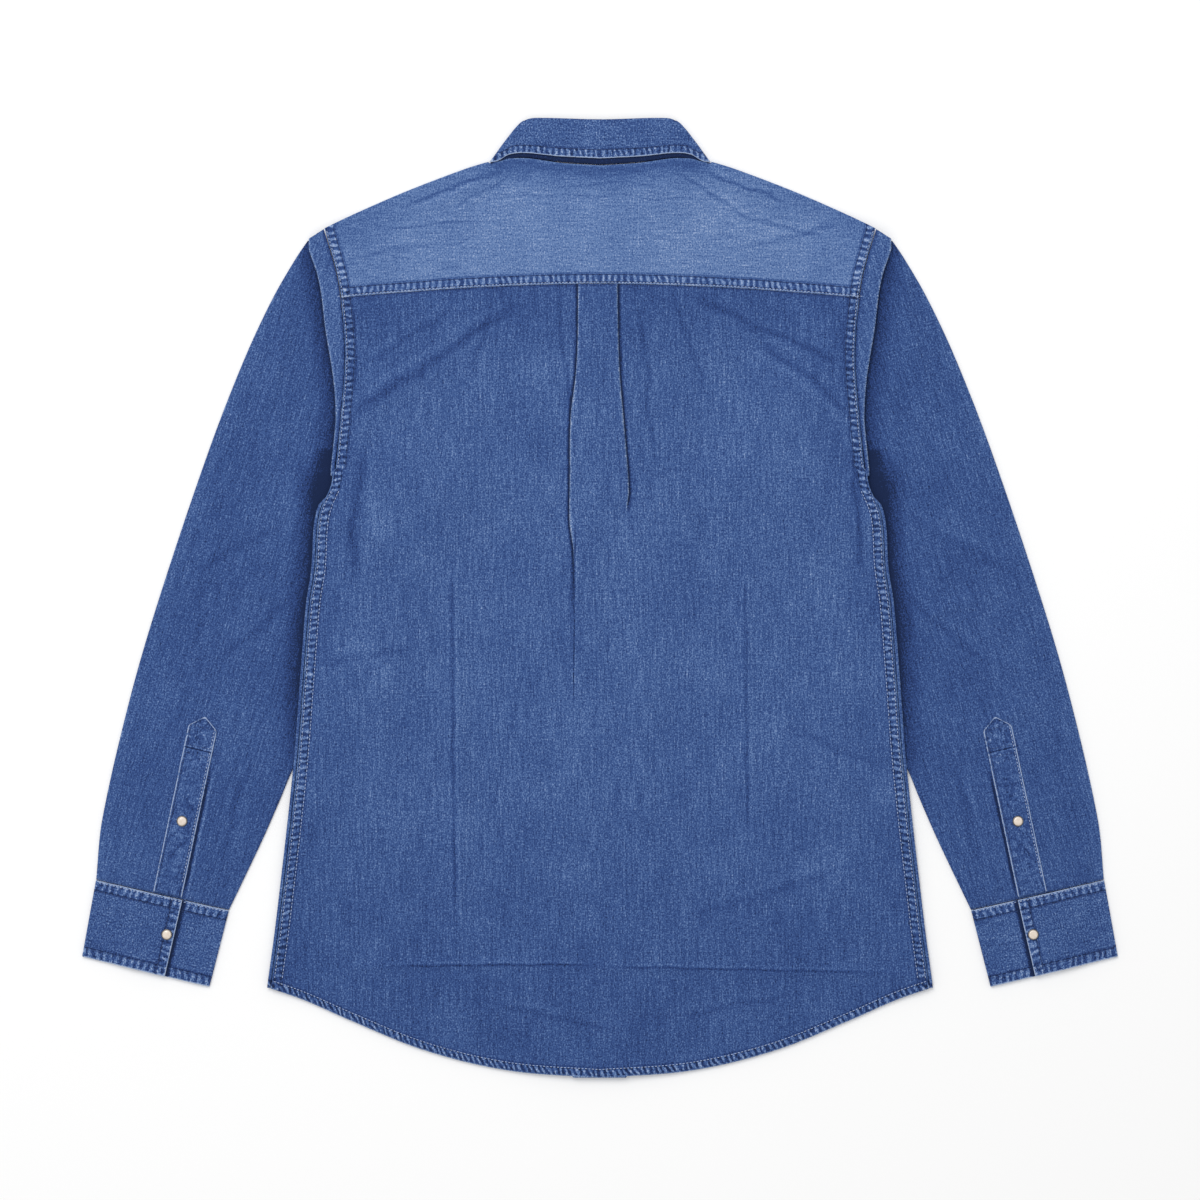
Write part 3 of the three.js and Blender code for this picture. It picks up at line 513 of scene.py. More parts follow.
# Sleeve: a flattened tube out from under the body, and a strip beside the armhole that folds back to it
sleeveCut = {"rows": 200, "topColumns": 46, "underColumns": 16, "outerStart": 106, "outerEnd": 654.6,
             "tilt": 25.8, "puff": 1.6, "grain": math.radians(16)}
sleeveCreases = {
    -1: [
        {"start": (268, 150), "end": (296, 260), "width": 8, "rise": 1.4, "bow": -8},
        {"start": (240, 250), "end": (262, 352), "width": 7, "rise": 1.2, "bow": -5},
        {"start": (300, 230), "end": (330, 330), "width": 9, "rise": 0.9, "bow": 6},
        {"start": (262, 420), "end": (318, 404), "width": 8, "rise": 1.0, "bow": 4},
        {"start": (300, 520), "end": (372, 470), "width": 9, "rise": 1.0, "bow": -5},
        {"start": (330, 560), "end": (404, 566), "width": 8, "rise": 0.8, "bow": 5},
        {"start": (424, 664), "end": (414, 628), "width": 3.5, "rise": 1.2, "bow": 1},
        {"start": (333, 676), "end": (340, 640), "width": 3.5, "rise": 1.2, "bow": -1},
    ],
    1: [
        {"start": (262, 140), "end": (292, 250), "width": 8, "rise": 1.3, "bow": -7},
        {"start": (238, 240), "end": (260, 346), "width": 7, "rise": 1.2, "bow": -5},
        {"start": (304, 250), "end": (326, 360), "width": 9, "rise": 0.9, "bow": 5},
        {"start": (266, 440), "end": (326, 412), "width": 8, "rise": 1.0, "bow": 4},
        {"start": (312, 540), "end": (384, 500), "width": 9, "rise": 0.9, "bow": 5},
        {"start": (340, 590), "end": (408, 578), "width": 8, "rise": 0.8, "bow": -5},
        {"start": (422, 662), "end": (416, 626), "width": 3.5, "rise": 1.2, "bow": 1},
        {"start": (335, 674), "end": (340, 642), "width": 3.5, "rise": 1.1, "bow": -1},
    ],
}


def sleeveTop(sign, reach, drop, u):
    clear = ease(-2, 26, reach - np.maximum(through(bodyEdge, drop), creaseReach(drop)))
    puff = sleeveCut["puff"] * np.sin(math.pi * np.clip(u, 0, 1)) ** 0.7
    return (floorMiddle + cloth["plyOffset"]
            + (puff + 1.3 * relief(sleeveCreases[sign], reach, drop)) * clear)


# Painted shade on the sleeve beside what lies over it and in the underarm hollow, and the pale fold of the
# head; below 0 is darker
sleeveTone = {"base": -0.15, "edge": 0.10, "underCrease": -0.55, "creaseLine": -0.5, "underBody": -0.75,
              "bodyLine": -0.6, "underarm": (236, 316), "hollow": -0.8, "head": 0.02, "headSeam": -0.5,
              "headFold": 0.5}


def grainUv(sign, mid):
    turn = sleeveCut["grain"]
    reach = np.abs(mid[..., 0])
    across = reach * math.cos(turn) - mid[..., 1] * math.sin(turn)
    along = mid[..., 1] * math.cos(turn) + reach * math.sin(turn)
    return np.stack([across * sign + 900 * sign, along], axis=-1)


def makeSleeve(name, sign):
    share = np.linspace(0, 1, sleeveCut["rows"])[:, None]
    outerDrop = blend(sleeveCut["outerStart"], sleeveCut["outerEnd"], share)
    innerDrop = outerDrop + sleeveCut["tilt"] * share
    outer = through(sleeveOuter, outerDrop)
    inner = np.minimum(hiddenEdge(innerDrop), outer - 10)
    ply = cloth["plyOffset"]

    def at(u, inset, height):
        reach = blend(inner, outer, u) + inset
        drop = blend(innerDrop, outerDrop, (reach - inner) / (outer - inner))
        return reach, drop, height
    columns = []
    for u in np.linspace(0, 1, sleeveCut["topColumns"]):
        reach, drop, _ = at(u, ply * (1 - 2 * u), 0)
        columns.append(stack(reach, drop, sleeveTop(sign, reach, drop, u)))
    turns = np.linspace(0.12, 0.88, 7)
    columns += [stack(*at(1, ply * (math.sin(math.pi * t) - 1), floorMiddle + ply * math.cos(math.pi * t)))
                for t in turns]
    for u in np.linspace(1, 0, sleeveCut["underColumns"]):
        columns.append(stack(*at(u, ply * (1 - 2 * u), floorMiddle - ply)))
    columns += [stack(*at(0, ply * (1 - math.sin(math.pi * t)), floorMiddle - ply * math.cos(math.pi * t)))
                for t in turns]
    mid = np.concatenate(columns, axis=1)
    mid[..., 0] *= sign
    cuffSide = (1 - share) * 560 + 0 * mid[..., 0]
    reach, drop = np.abs(mid[..., 0]), mid[..., 1]
    wearAndShade = sleeveTone["base"] + sleeveTone["edge"] * ease(14, 0, np.abs(reach - outer))
    # Painted shade beside the head's crease, then painted shadow under the body's edge and painted shade in
    # the underarm hollow
    fromCrease = np.where(drop < 300, reach - creaseReach(np.minimum(drop, 300)), farOff)
    wearAndShade += (sleeveTone["underCrease"] * ease(20, 0, fromCrease)
             + sleeveTone["creaseLine"] * ease(4, 0, fromCrease))
    fromBody = np.where(drop > 285, reach - through(bodyEdge, np.maximum(drop, 300)), farOff)
    besideBody = (sleeveTone["underBody"] * ease(22, 0, fromBody)
                  + sleeveTone["bodyLine"] * ease(5, 0, fromBody))
    wearAndShade += besideBody * ease(640, 420, drop)
    fromUnderarm = np.hypot(reach - sleeveTone["underarm"][0], drop - sleeveTone["underarm"][1])
    wearAndShade += sleeveTone["hollow"] * ease(34, 0, fromUnderarm)
    tube = clothShell(name, mid, grainUv(sign, mid), cloth["wall"], ring=True, crossSeam=cuffSide, wearAndShade=wearAndShade)
    area = cutArea(mid, ring=True)
    rowDrop = np.linspace(96.4, 308, 110)[:, None]
    seam = through(armholeSeam, rowDrop) + 0.5 + 0.6 * ease(270, 300, rowDrop)
    lean = 0.66 * (1 - ease(96, 140, rowDrop))

    def dropAt(reach):
        return rowDrop + lean * (reach - seam)

    def topHeight(reach):
        return bodyMiddle(reach, dropAt(reach)) + ply + 0.15
    crease = creaseReach(rowDrop)
    flapMiddle = floorMiddle + cloth["layerPitch"]
    creaseTop = topHeight(crease)
    outerRadius = (creaseTop - flapMiddle) / 2
    arcReach = crease - outerRadius
    innerReach = np.minimum(312.1 - 0.532 * rowDrop, arcReach - 6)
    innerRadius = (flapMiddle - floorMiddle) / 2
    strip = []
    for u in np.linspace(0, 1, 14):
        reach = blend(seam, np.maximum(arcReach, seam + 1), u)
        strip.append((reach, blend(topHeight(reach), creaseTop, ease(0.6, 1, u))))
    for t in np.linspace(0.1, 0.9, 9):
        strip.append((arcReach + outerRadius * math.sin(math.pi * t),
                      creaseTop - outerRadius * (1 - math.cos(math.pi * t))))
    for u in np.linspace(0, 1, 12):
        strip.append((blend(arcReach, innerReach + innerRadius, u), flapMiddle + 0 * rowDrop))
    for t in np.linspace(0.15, 0.9, 6):
        strip.append((innerReach + innerRadius * (1 - math.sin(math.pi * t)),
                      flapMiddle - innerRadius * (1 - math.cos(math.pi * t))))
    head = np.concatenate([stack(sign * reach, dropAt(reach), height) for reach, height in strip], axis=1)
    # The head is darker along the armhole seam and has a pale line on its fold
    headSeam = np.abs(head[..., 0]) - seam
    headFold = np.abs(np.abs(head[..., 0]) - crease)
    headSeamAndFold = (sleeveTone["head"] + sleeveTone["headSeam"] * ease(3, 0, headSeam)
                + sleeveTone["headFold"] * ease(2.2, 0, headFold))
    headPiece = clothShell(name + "Head", head, grainUv(sign, head), cloth["wall"], wearAndShade=headSeamAndFold)
    return joinPieces(name, tube, headPiece), area + cutArea(head)


# Cuff: a band round the sleeve end that laps over itself on top
cuffCorners = {"outerTop": (432.6, 655.3), "innerTop": (319.6, 681.1),
               "outerBottom": (444.4, 720.7), "innerBottom": (336.3, 746.5)}
cuffCut = {"wall": 1.3, "pitch": 1.6, "edge": 0.655, "underEnd": 0.45, "width": 115.0, "depth": 67.0,
           "rows": 40, "topColumns": 46, "tone": -0.06, "lapShade": -2.2}
cuffLow = cuffCut["wall"] / 2
cuffHigh = cuffLow + cuffCut["pitch"]


def cuffPoint(along, down):
    def corner(name, k):
        return cuffCorners[name][k]
    return [blend(blend(corner("outerTop", k), corner("outerBottom", k), down),
                  blend(corner("innerTop", k), corner("innerBottom", k), down), along) for k in (0, 1)]


def cuffTop(along):
    crown = 0.7 * np.sin(math.pi * np.clip(along, 0, 1)) ** 0.6
    lap = np.where(along <= cuffCut["edge"] + 1e-6, ease(0.15, cuffCut["underEnd"] - 0.03, along), 0)
    return cuffHigh + cuffCut["pitch"] * lap + crown


def makeCuff(name, sign):
    radius = cuffCut["pitch"] / 2
    edge = radius / cuffCut["width"]
    middle = (cuffLow + cuffHigh) / 2
    topAlong = np.linspace(cuffCut["edge"], edge, cuffCut["topColumns"])
    path = [(a, float(cuffTop(a)) if a > edge else cuffHigh) for a in topAlong]
    path += [(edge * (1 - math.sin(math.pi * t)), middle + radius * math.cos(math.pi * t))
             for t in np.linspace(0.12, 0.88, 7)]
    path += [(a, cuffLow) for a in np.linspace(edge, 1 - edge, 24)]
    path += [(1 - edge * (1 - math.sin(math.pi * t)), middle - radius * math.cos(math.pi * t))
             for t in np.linspace(0.12, 0.88, 7)]
    crownAt = np.linspace(1 - edge, cuffCut["underEnd"], 30)
    path += [(a, cuffHigh + 0.6 * float(ease(1, 0.9, a)) * float(ease(0.6, 0.72, a))) for a in crownAt]
    underPlyStart = cuffCut["topColumns"] + 34  # the columns before it are the top, a fold and the floor ply
    down = np.linspace(0, 1, cuffCut["rows"])[:, None]
    columns = []
    for along, height in path:
        reach, drop = cuffPoint(along, down)
        columns.append(stack(sign * reach, drop, height))
    mid = np.concatenate(columns, axis=1)
    alongs = np.array([along for along, _ in path])[None, :]
    depth = cuffCut["depth"]
    cross = np.minimum(down * depth, (1 - down) * depth) + 0 * alongs
    number = np.arange(len(path))
    fromLap = (alongs - cuffCut["edge"]) * cuffCut["width"]
    lap = np.where(number < cuffCut["topColumns"], -fromLap, farOff)
    uv = np.stack([alongs * cuffCut["width"] + 400 * sign + 0 * down, down * depth + 0 * alongs], axis=-1)
    beyond = np.where(number > underPlyStart, fromLap, farOff)
    wearAndShade = cuffCut["tone"] + cuffCut["lapShade"] * ease(4, 0.4, beyond) * (beyond > -1) + 0 * down
    piece = clothShell(name, mid, uv, cuffCut["wall"], lengthSeam=lap + 0 * down, crossSeam=cross, wearAndShade=wearAndShade)
    return piece, cutArea(mid)


# Sleeve placket: a pointed strip on the upper ply
placketCut = {"tip": (339.0, 515.0), "end": (371.2, 667.0), "halfWidth": 12.4, "point": 10.0, "wall": 1.2,
              "rows": 90, "columns": 22, "lift": 0.25, "tone": -0.12}
placketLength = math.hypot(placketCut["end"][0] - placketCut["tip"][0],
                           placketCut["end"][1] - placketCut["tip"][1])


def placketPoint(run, side):
    (x0, d0), (x1, d1) = placketCut["tip"], placketCut["end"]
    ax, ad = (x1 - x0) / placketLength, (d1 - d0) / placketLength
    return x0 + ax * run + side * ad, d0 + ad * run - side * ax


def placketTop(sign, reach, drop):
    return sleeveTop(sign, reach, drop, 0.5) + cloth["wall"] / 2 + placketCut["wall"] / 2 + placketCut["lift"]


def makePlacket(name, sign):
    run = np.linspace(0, 1, placketCut["rows"])[:, None] * placketLength
    half = placketCut["halfWidth"] * np.clip(0.05 + run / placketCut["point"], 0, 1)
    side = np.linspace(-1, 1, placketCut["columns"])[None, :]
    reach, drop = placketPoint(run, side * half)
    mid = stack(sign * reach, drop, placketTop(sign, reach, drop))
    lengthSeam = (1 - np.abs(side)) * half
    crossSeam = np.minimum(run * 0.6 + 0 * side, farOff)
    piece = clothShell(name, mid, grainUv(sign, mid), placketCut["wall"], lengthSeam=lengthSeam,
                       crossSeam=crossSeam, wearAndShade=placketCut["tone"] + 0 * mid[..., 0])
    return piece, cutArea(mid)


# Snap: a pearl cap in a metal rim
snapCut = {"radius": 4.75, "rim": 0.95, "height": 1.5, "around": 40, "gap": 0.05}
cuffSnap = (0.6, 0.47)  # share along and down the cuff
placketSnap = (358.6, 604.2)  # reach, drop
frontSnaps = {"count": 7, "first": 178, "spacing": 88}


def makeSnap(name, x, drop, base):
    r, rim, high = snapCut["radius"], snapCut["rim"], snapCut["height"]
    cap = [(0, 0.1), (r - rim, 0.1), (r - rim, high * 0.62), ((r - rim) * 0.92, high * 0.86),
           ((r - rim) * 0.6, high * 1.04), ((r - rim) * 0.3, high * 1.1), (0, high * 1.12)]
    ring = [(r - rim * 1.02, 0.0), (r - 0.1, 0.0), (r, high * 0.22), (r - rim * 0.25, high * 0.62),
            (r - rim * 0.7, high * 0.8), (r - rim * 1.02, high * 0.6)]
    made = []
    for label, profile, closed in (("Cap", cap, False), ("Rim", ring, True)):
        count, steps = snapCut["around"], len(profile)
        vertices, faces = [], []
        for k in range(count):
            turn = 2 * math.pi * k / count
            vertices += [(p * math.cos(turn), p * math.sin(turn), z) for p, z in profile]
        for k in range(count):
            a, b = k * steps, (k + 1) % count * steps
            for j in range(steps if closed else steps - 1):
                n = (j + 1) % steps
                faces.append((a + j, b + j, b + n, a + n))
        mesh = bpy.data.meshes.new(name + label)
        place = [((x + vx) * mm, (middleDrop - drop + vy) * mm, (base + vz) * mm) for vx, vy, vz in vertices]
        mesh.from_pydata(place, [], faces)
        tidy = bmesh.new()
        tidy.from_mesh(mesh)
        bmesh.ops.remove_doubles(tidy, verts=tidy.verts, dist=1e-6)
        bmesh.ops.dissolve_degenerate(tidy, edges=tidy.edges, dist=1e-7)
        bmesh.ops.recalc_face_normals(tidy, faces=tidy.faces)
        tidy.to_mesh(mesh)
        tidy.free()
        mesh.shade_smooth()
        piece = bpy.data.objects.new(name + label, mesh)
        bpy.context.scene.collection.objects.link(piece)
        made.append(piece)
    return made


# sRGB hex to linear colour
def colour(hexCode):
    parts = [int(hexCode[i:i + 2], 16) / 255 for i in (1, 3, 5)]
    return [p / 12.92 if p <= 0.04045 else ((p + 0.055) / 1.055) ** 2.4 for p in parts] + [1.0]


# Adds one node with its settings, socket values and links
def addNode(tree, kind, settings=None, values=None, links=None):
    node = tree.nodes.new(kind)
    for key, value in (settings or {}).items():
        setattr(node, key, value)
    for key, value in (values or {}).items():
        node.inputs[key].default_value = value
    for key, source in (links or {}).items():
        tree.links.new(source, node.inputs[key])
    return node


def newMaterial(name):
    material = bpy.data.materials.new(name)
    material.use_nodes = True
    tree = material.node_tree
    tree.nodes.clear()
    output = addNode(tree, "ShaderNodeOutputMaterial")
    shader = addNode(tree, "ShaderNodeBsdfPrincipled")
    tree.links.new(shader.outputs["BSDF"], output.inputs["Surface"])
    return material, tree, shader


# Washed indigo denim, a right-hand twill with white weft: blue with pale slubs along the warp, a lighter edge
# rubbed pale on every fold of a seam and dark puckers between the two stitch rows; painted crease shade and a
# per-point value of wear and painted shade on top
def denim(name, look):
    material, tree, shader = newMaterial(name)

    def maths(operation, a, b=None, clamp=False):
        node = addNode(tree, "ShaderNodeMath", {"operation": operation, "use_clamp": clamp})
        for index, value in enumerate((a, b)):
            if value is None:
                continue
            if isinstance(value, (int, float)):
                node.inputs[index].default_value = value
            else:
                tree.links.new(value, node.inputs[index])
        return node.outputs[0]

    def band(source, low, high, soft=0.5):  # 1 between low and high, in mm
        rising = addNode(tree, "ShaderNodeMapRange", {"interpolation_type": "SMOOTHSTEP"},
                         {"From Min": low - soft, "From Max": low + soft}, {"Value": source}).outputs[0]
        falling = addNode(tree, "ShaderNodeMapRange", {"interpolation_type": "SMOOTHSTEP"},
                          {"From Min": high - soft, "From Max": high + soft, "To Min": 1.0, "To Max": 0.0},
                          {"Value": source}).outputs[0]
        return maths("MULTIPLY", rising, falling)

    def noise(vector, scale, detail=2.0, rough=0.5, dimensions="2D"):
        stretched = addNode(tree, "ShaderNodeMapping", values={"Scale": scale}, links={"Vector": vector})
        return addNode(tree, "ShaderNodeTexNoise", {"noise_dimensions": dimensions},
                       {"Scale": 1.0, "Detail": detail, "Roughness": rough},
                       {"Vector": stretched.outputs[0]}).outputs[0]
    uv = addNode(tree, "ShaderNodeUVMap", {"uv_map": "cloth"}).outputs[0]
    parts = addNode(tree, "ShaderNodeSeparateXYZ", links={"Vector": uv})
    across, along = parts.outputs[0], parts.outputs[1]
    attribute = {key: addNode(tree, "ShaderNodeAttribute", {"attribute_name": key}).outputs["Fac"]
                 for key in ("lengthSeam", "crossSeam", "wearAndShade")}
    # Slubs: warp threads 1 to 2 mm apart that swell over 10 to 40 mm, and flecks of the weft between.
    # The real threads are 0.4 mm apart, too fine to show, so they are drawn coarser.
    slub = noise(uv, (0.5, 0.03, 1), 2.0, 0.6)
    thread = noise(uv, (0.9, 0.2, 1), 2.0, 0.65)
    fleck = noise(uv, (0.85, 0.72, 1), 1.0, 0.6)
    weft = noise(uv, (0.05, 0.7, 1), 2.0, 0.6)
    cloud = noise(uv, (0.022, 0.016, 1), 3.0, 0.55)
    warp = None
    for layer, share in ((slub, look["slub"]), (thread, look["thread"]), (fleck, look["fleck"]),
                         (weft, look["weft"]), (cloud, look["cloud"])):
        part = maths("MULTIPLY", maths("SUBTRACT", layer, 0.5), share)
        warp = part if warp is None else maths("ADD", warp, part)
    # The per-point value shifts the tone: real wear together with painted shade, painted shadow and painted
    # highlights
    level = maths("ADD", warp, maths("MULTIPLY", attribute["wearAndShade"], look["wearAndShadeStrength"]))
    # Seams: rope marks across the band at the seam's own pitch, a pale rim and a groove under each row
    puckers = None
    for key, run in (("lengthSeam", along), ("crossSeam", across)):
        spec = look[key]
        if spec is None:
            continue
        distance = attribute[key]
        slant = maths("ADD", run, maths("MULTIPLY", distance, spec.get("slant", 0.12)))
        wobble = maths("MULTIPLY", noise(uv, (0.08, 0.08, 1), 3.0, 0.6), spec.get("wobble", 8.0))
        phase = maths("ADD", maths("MULTIPLY", slant, 2 * math.pi / spec["pitch"]), wobble)
        rope = maths("MULTIPLY", maths("SINE", phase), 1.5)
        rope = maths("MAXIMUM", maths("MINIMUM", rope, 1.0), -1.0)
        patch = maths("SUBTRACT", maths("MULTIPLY", noise(uv, (0.2, 0.2, 1), 2.0), 2.6), 0.5, clamp=True)
        rope = maths("MULTIPLY", rope, patch)
        inside = band(distance, 0.9, spec["width"] - 0.3, 0.7)
        ropeMarks = maths("MULTIPLY", maths("MULTIPLY", rope, inside), spec["rope"])
        chipped = maths("ADD", maths("MULTIPLY", noise(uv, (0.35, 0.35, 1), 1.0), 1.3), 0.2)
        rim = maths("MULTIPLY", maths("MULTIPLY", band(distance, -2.0, 0.8, 0.35), spec["rim"]), chipped)
        groove = None
        for row in spec["rows"]:
            mark = band(distance, row - 0.35, row + 0.35, 0.35)
            groove = mark if groove is None else maths("MAXIMUM", groove, mark)
        outline = band(distance, spec["width"], spec["width"] + 1.3, 0.6)
        parts = maths("ADD", ropeMarks, rim)
        if groove is not None:
            parts = maths("SUBTRACT", parts, maths("MULTIPLY", groove, spec["groove"]))
        parts = maths("SUBTRACT", parts, maths("MULTIPLY", outline, spec["outline"]))
        level = maths("ADD", level, parts)
        puckers = parts if puckers is None else maths("ADD", puckers, parts)
    # Creases: a painted shade line that bends a little, with a painted highlight at its side
    bend = maths("MULTIPLY", maths("SUBTRACT", noise(uv, (0.03, 0.03, 1), 2.0), 0.5), 9.0)
    for mark in look.get("marks", ()):
        (x0, d0), (x1, d1) = mark["start"], mark["end"]
        length = math.hypot(x1 - x0, d1 - d0)
        ux, ud = (x1 - x0) / length, (d1 - d0) / length
        fromX, fromDrop = maths("SUBTRACT", across, x0), maths("SUBTRACT", along, d0)
        run = maths("ADD", maths("MULTIPLY", fromX, ux / length), maths("MULTIPLY", fromDrop, ud / length))
        side = maths("SUBTRACT", maths("MULTIPLY", fromX, ud), maths("MULTIPLY", fromDrop, ux))
        side = maths("ADD", side, maths("MULTIPLY", bend, mark.get("bend", 1.0)))
        half = mark["width"]
        dark = band(side, -half * 0.3, half * 0.3, half * 0.5)
        light = band(side, half * 0.9, half * 1.4, half * 0.5)
        paler = maths("MULTIPLY", light, 0.35 * mark["shade"])
        shape = maths("SUBTRACT", maths("MULTIPLY", dark, mark["shade"]), paler)
        level = maths("SUBTRACT", level, maths("MULTIPLY", shape, band(run, 0.1, 0.9, 0.12)))
    tone = maths("ADD", maths("MULTIPLY", level, 0.5), 0.5)
    ramp = addNode(tree, "ShaderNodeValToRGB", links={"Fac": tone})
    ramp.color_ramp.interpolation = "EASE"
    stops = denimStops
    while len(ramp.color_ramp.elements) < len(stops):
        ramp.color_ramp.elements.new(0.5)
    for element, (position, hexCode) in zip(ramp.color_ramp.elements, stops):
        element.position = position
        element.color = colour(hexCode)
    tree.links.new(ramp.outputs["Color"], shader.inputs["Base Color"])
    shader.inputs["Roughness"].default_value = 0.94
    shader.inputs["Specular IOR Level"].default_value = 0.18
    shader.inputs["Sheen Weight"].default_value = 0.06
    shader.inputs["Sheen Roughness"].default_value = 0.5
    # Twill ribs are 0.6 mm apart on the cloth; drawn at 1.1 mm so that they show
    rib = addNode(tree, "ShaderNodeTexWave", {"wave_type": "BANDS", "bands_direction": "DIAGONAL"},
                  {"Scale": 0.42, "Distortion": 1.2, "Detail": 1.0}, {"Vector": uv}).outputs["Fac"]
    height = maths("ADD", maths("MULTIPLY", warp, 0.55), maths("MULTIPLY", rib, 0.22))
    if puckers is not None:
        height = maths("ADD", height, maths("MULTIPLY", puckers, 1.6))
    bump = addNode(tree, "ShaderNodeBump", values={"Strength": 0.55, "Distance": 0.0005},
                   links={"Height": height})
    tree.links.new(bump.outputs["Normal"], shader.inputs["Normal"])
    return material


denimStops = [(0.0, "#16264a"), (0.28, "#283f74"), (0.5, "#3a568c"), (0.72, "#5f7bab"), (1.0, "#9fb1d2")]
# Seam bands, in mm from the edge; slant leans the rope marks and wobble makes them uneven
plainSeam = {"width": 8.6, "pitch": 5.4, "rope": 0.6, "rim": 0.4,
             "rows": (1.7, 7.8), "groove": 0.8, "outline": 0.3}
yokeSeam = dict(plainSeam, rope=0.55, rim=0.7, groove=0.85)
hemSeam = {"slant": 0.5, "width": 7.4, "pitch": 5.0, "rope": 0.7, "rim": 0.7,
           "rows": (6.4,), "groove": 0.6, "outline": 0.30}
cuffSeam = {"width": 8.8, "pitch": 6.2, "rope": 0.5, "rim": 1.4,
            "rows": (8.4,), "groove": 0.9, "outline": 0.30}
collarSeam = {"width": 7.6, "pitch": 5.0, "rope": 0.6, "rim": 1.8,
              "rows": (7.2,), "groove": 0.8, "outline": 0.2}
stripSeam = {"wobble": 22.0, "width": 24.0, "pitch": 9.0, "rope": 0.18, "rim": 1.5,
             "rows": (2.2,), "groove": 0.5, "outline": 0.0}
plainGrain = {"slub": 0.74, "thread": 1.0, "fleck": 1.8, "weft": 0.3, "cloud": 0.34}
crossGrain = {"slub": 0.35, "thread": 0.8, "fleck": 2.2, "weft": 0.8, "cloud": 0.34}
yokeGrain = {"slub": 0.24, "thread": 0.5, "fleck": 1.4, "weft": 0.6, "cloud": 0.3}


# Each mark is a painted shade line with a painted highlight at its side, the reverse where its shade is below
# 0
def creaseMarks(rows):  # pressed-in creases and soft hollows: start, end, half width in mm, shade, bend
    return [dict(zip(("start", "end", "width", "shade", "bend"), row)) for row in rows]


backMarks = creaseMarks([
    ((-128, 362), (-124, 726), 3.4, 0.46, 0.3),
    ((-52, 414), (-118, 700), 3.0, 0.16),
    ((-21, 330), (-23, 520), 1.3, 0.85, 0.1),
    ((124, 380), (127, 640), 3.4, 0.34, 0.3),
    ((-190, 729), (6, 727), 2.2, 0.6, 0.3),
    ((-12, 729), (262, 735), 2.2, 0.5, 0.3),
    ((-222, 262), (-62, 156), 9, 0.38, 1.6),
    ((-205, 214), (-120, 160), 6, 0.22, 1.2),
    ((222, 262), (128, 182), 7, 0.32, -1.4),
    ((214, 214), (70, 150), 7, 0.3, 1.2),
    ((-204, 282), (-214, 400), 10, 0.42, 1.4),
    ((218, 280), (222, 402), 8, 0.36, 1.0),
    ((-36, 148), (-26, 262), 4, 0.34),
    ((34, 152), (46, 300), 5, 0.26),
    ((62, 150), (92, 240), 5, 0.22),
    ((-90, 150), (-112, 226), 6, 0.22),
    ((-244, 470), (-150, 452), 7, 0.18),
    ((244, 560), (150, 520), 7, 0.18),
    ((70, 690), (226, 640), 8, 0.18),
    ((-96, 760), (20, 786), 6, 0.2),
    ((60, 774), (170, 752), 6, 0.2),
])
yokeMarks = creaseMarks([
    ((-88, 45), (-172, 78), 4, 0.4),
    ((-70, 44), (-130, 82), 3, 0.26),
    ((88, 45), (160, 72), 4, 0.4),
    ((66, 45), (122, 84), 4, 0.3),
    ((100, 78), (196, 104), 4, 0.26),
    ((-196, 96), (-96, 88), 3, 0.24),
    ((-110, 66), (104, 70), 2.2, 0.2),
    ((-40, 60), (60, 56), 2.0, 0.2),
    # a pale line: the imprint of a label's stitching rubbed into the cloth
    ((33, 62), (33, 116), 0.8, -0.3, 0.05),
    ((128, 112), (206, 92), 5, 0.26),
    ((-206, 120), (-140, 108), 4, 0.22),
])


def sleeveMarks(rows):  # the same creases on both sleeves, in the cloth's own coordinates
    marks = []
    for crease in creaseMarks(rows):
        for sign in (-1, 1):
            ends = [grainUv(sign, np.array([sign * reach, drop, 0.0]))
                    for reach, drop in (crease["start"], crease["end"])]
            start, end = [tuple(float(v) for v in point) for point in ends]
            marks.append(dict(crease, start=start, end=end))
    return marks


def besidePlacket(run, side):
    reach, drop = placketPoint(run, side)
    return float(reach), float(drop)


sleeveShades = sleeveMarks([
    # painted shadow beside the placket's inner edge, then painted shade of soft folds
    (besidePlacket(38, -13.8), besidePlacket(160, -13.8), 2.6, 1.5, 0.0),
    ((300, 150), (352, 330), 9, 0.16, 2.0),
    ((262, 410), (330, 470), 8, 0.2, 1.6),
    ((276, 352), (352, 392), 9, 0.16, 1.6),
    ((300, 540), (330, 660), 7, 0.2, 1.6),
])
placketShades = sleeveMarks([
    # a dark row of cross-stitches, then painted shade of two soft creases
    (besidePlacket(28, 15), besidePlacket(29, -15), 1.3, 1.3, 0.0),
    (besidePlacket(60, 6), besidePlacket(84, -8), 3, 0.3),
    (besidePlacket(100, -9), besidePlacket(128, 5), 3.4, 0.34),
])
looks = {
    "back": dict(plainGrain, marks=backMarks, wearAndShadeStrength=1.0, lengthSeam=plainSeam, crossSeam=hemSeam),
    "yoke": dict(yokeGrain, marks=yokeMarks, wearAndShadeStrength=0.39, lengthSeam=plainSeam, crossSeam=yokeSeam),
    "sleeve": dict(plainGrain, marks=sleeveShades, wearAndShadeStrength=1.0, lengthSeam=None, crossSeam=None),
    "collar": dict(crossGrain, wearAndShadeStrength=1.0, lengthSeam=None, crossSeam=collarSeam),
    "stand": dict(crossGrain, wearAndShadeStrength=1.5, lengthSeam=None, crossSeam=None),
    "cuff": dict(crossGrain, wearAndShadeStrength=1.0, lengthSeam=cuffSeam, crossSeam=cuffSeam),
    "placket": dict(plainGrain, marks=placketShades, wearAndShadeStrength=1.0, lengthSeam=stripSeam, crossSeam=stripSeam),
}


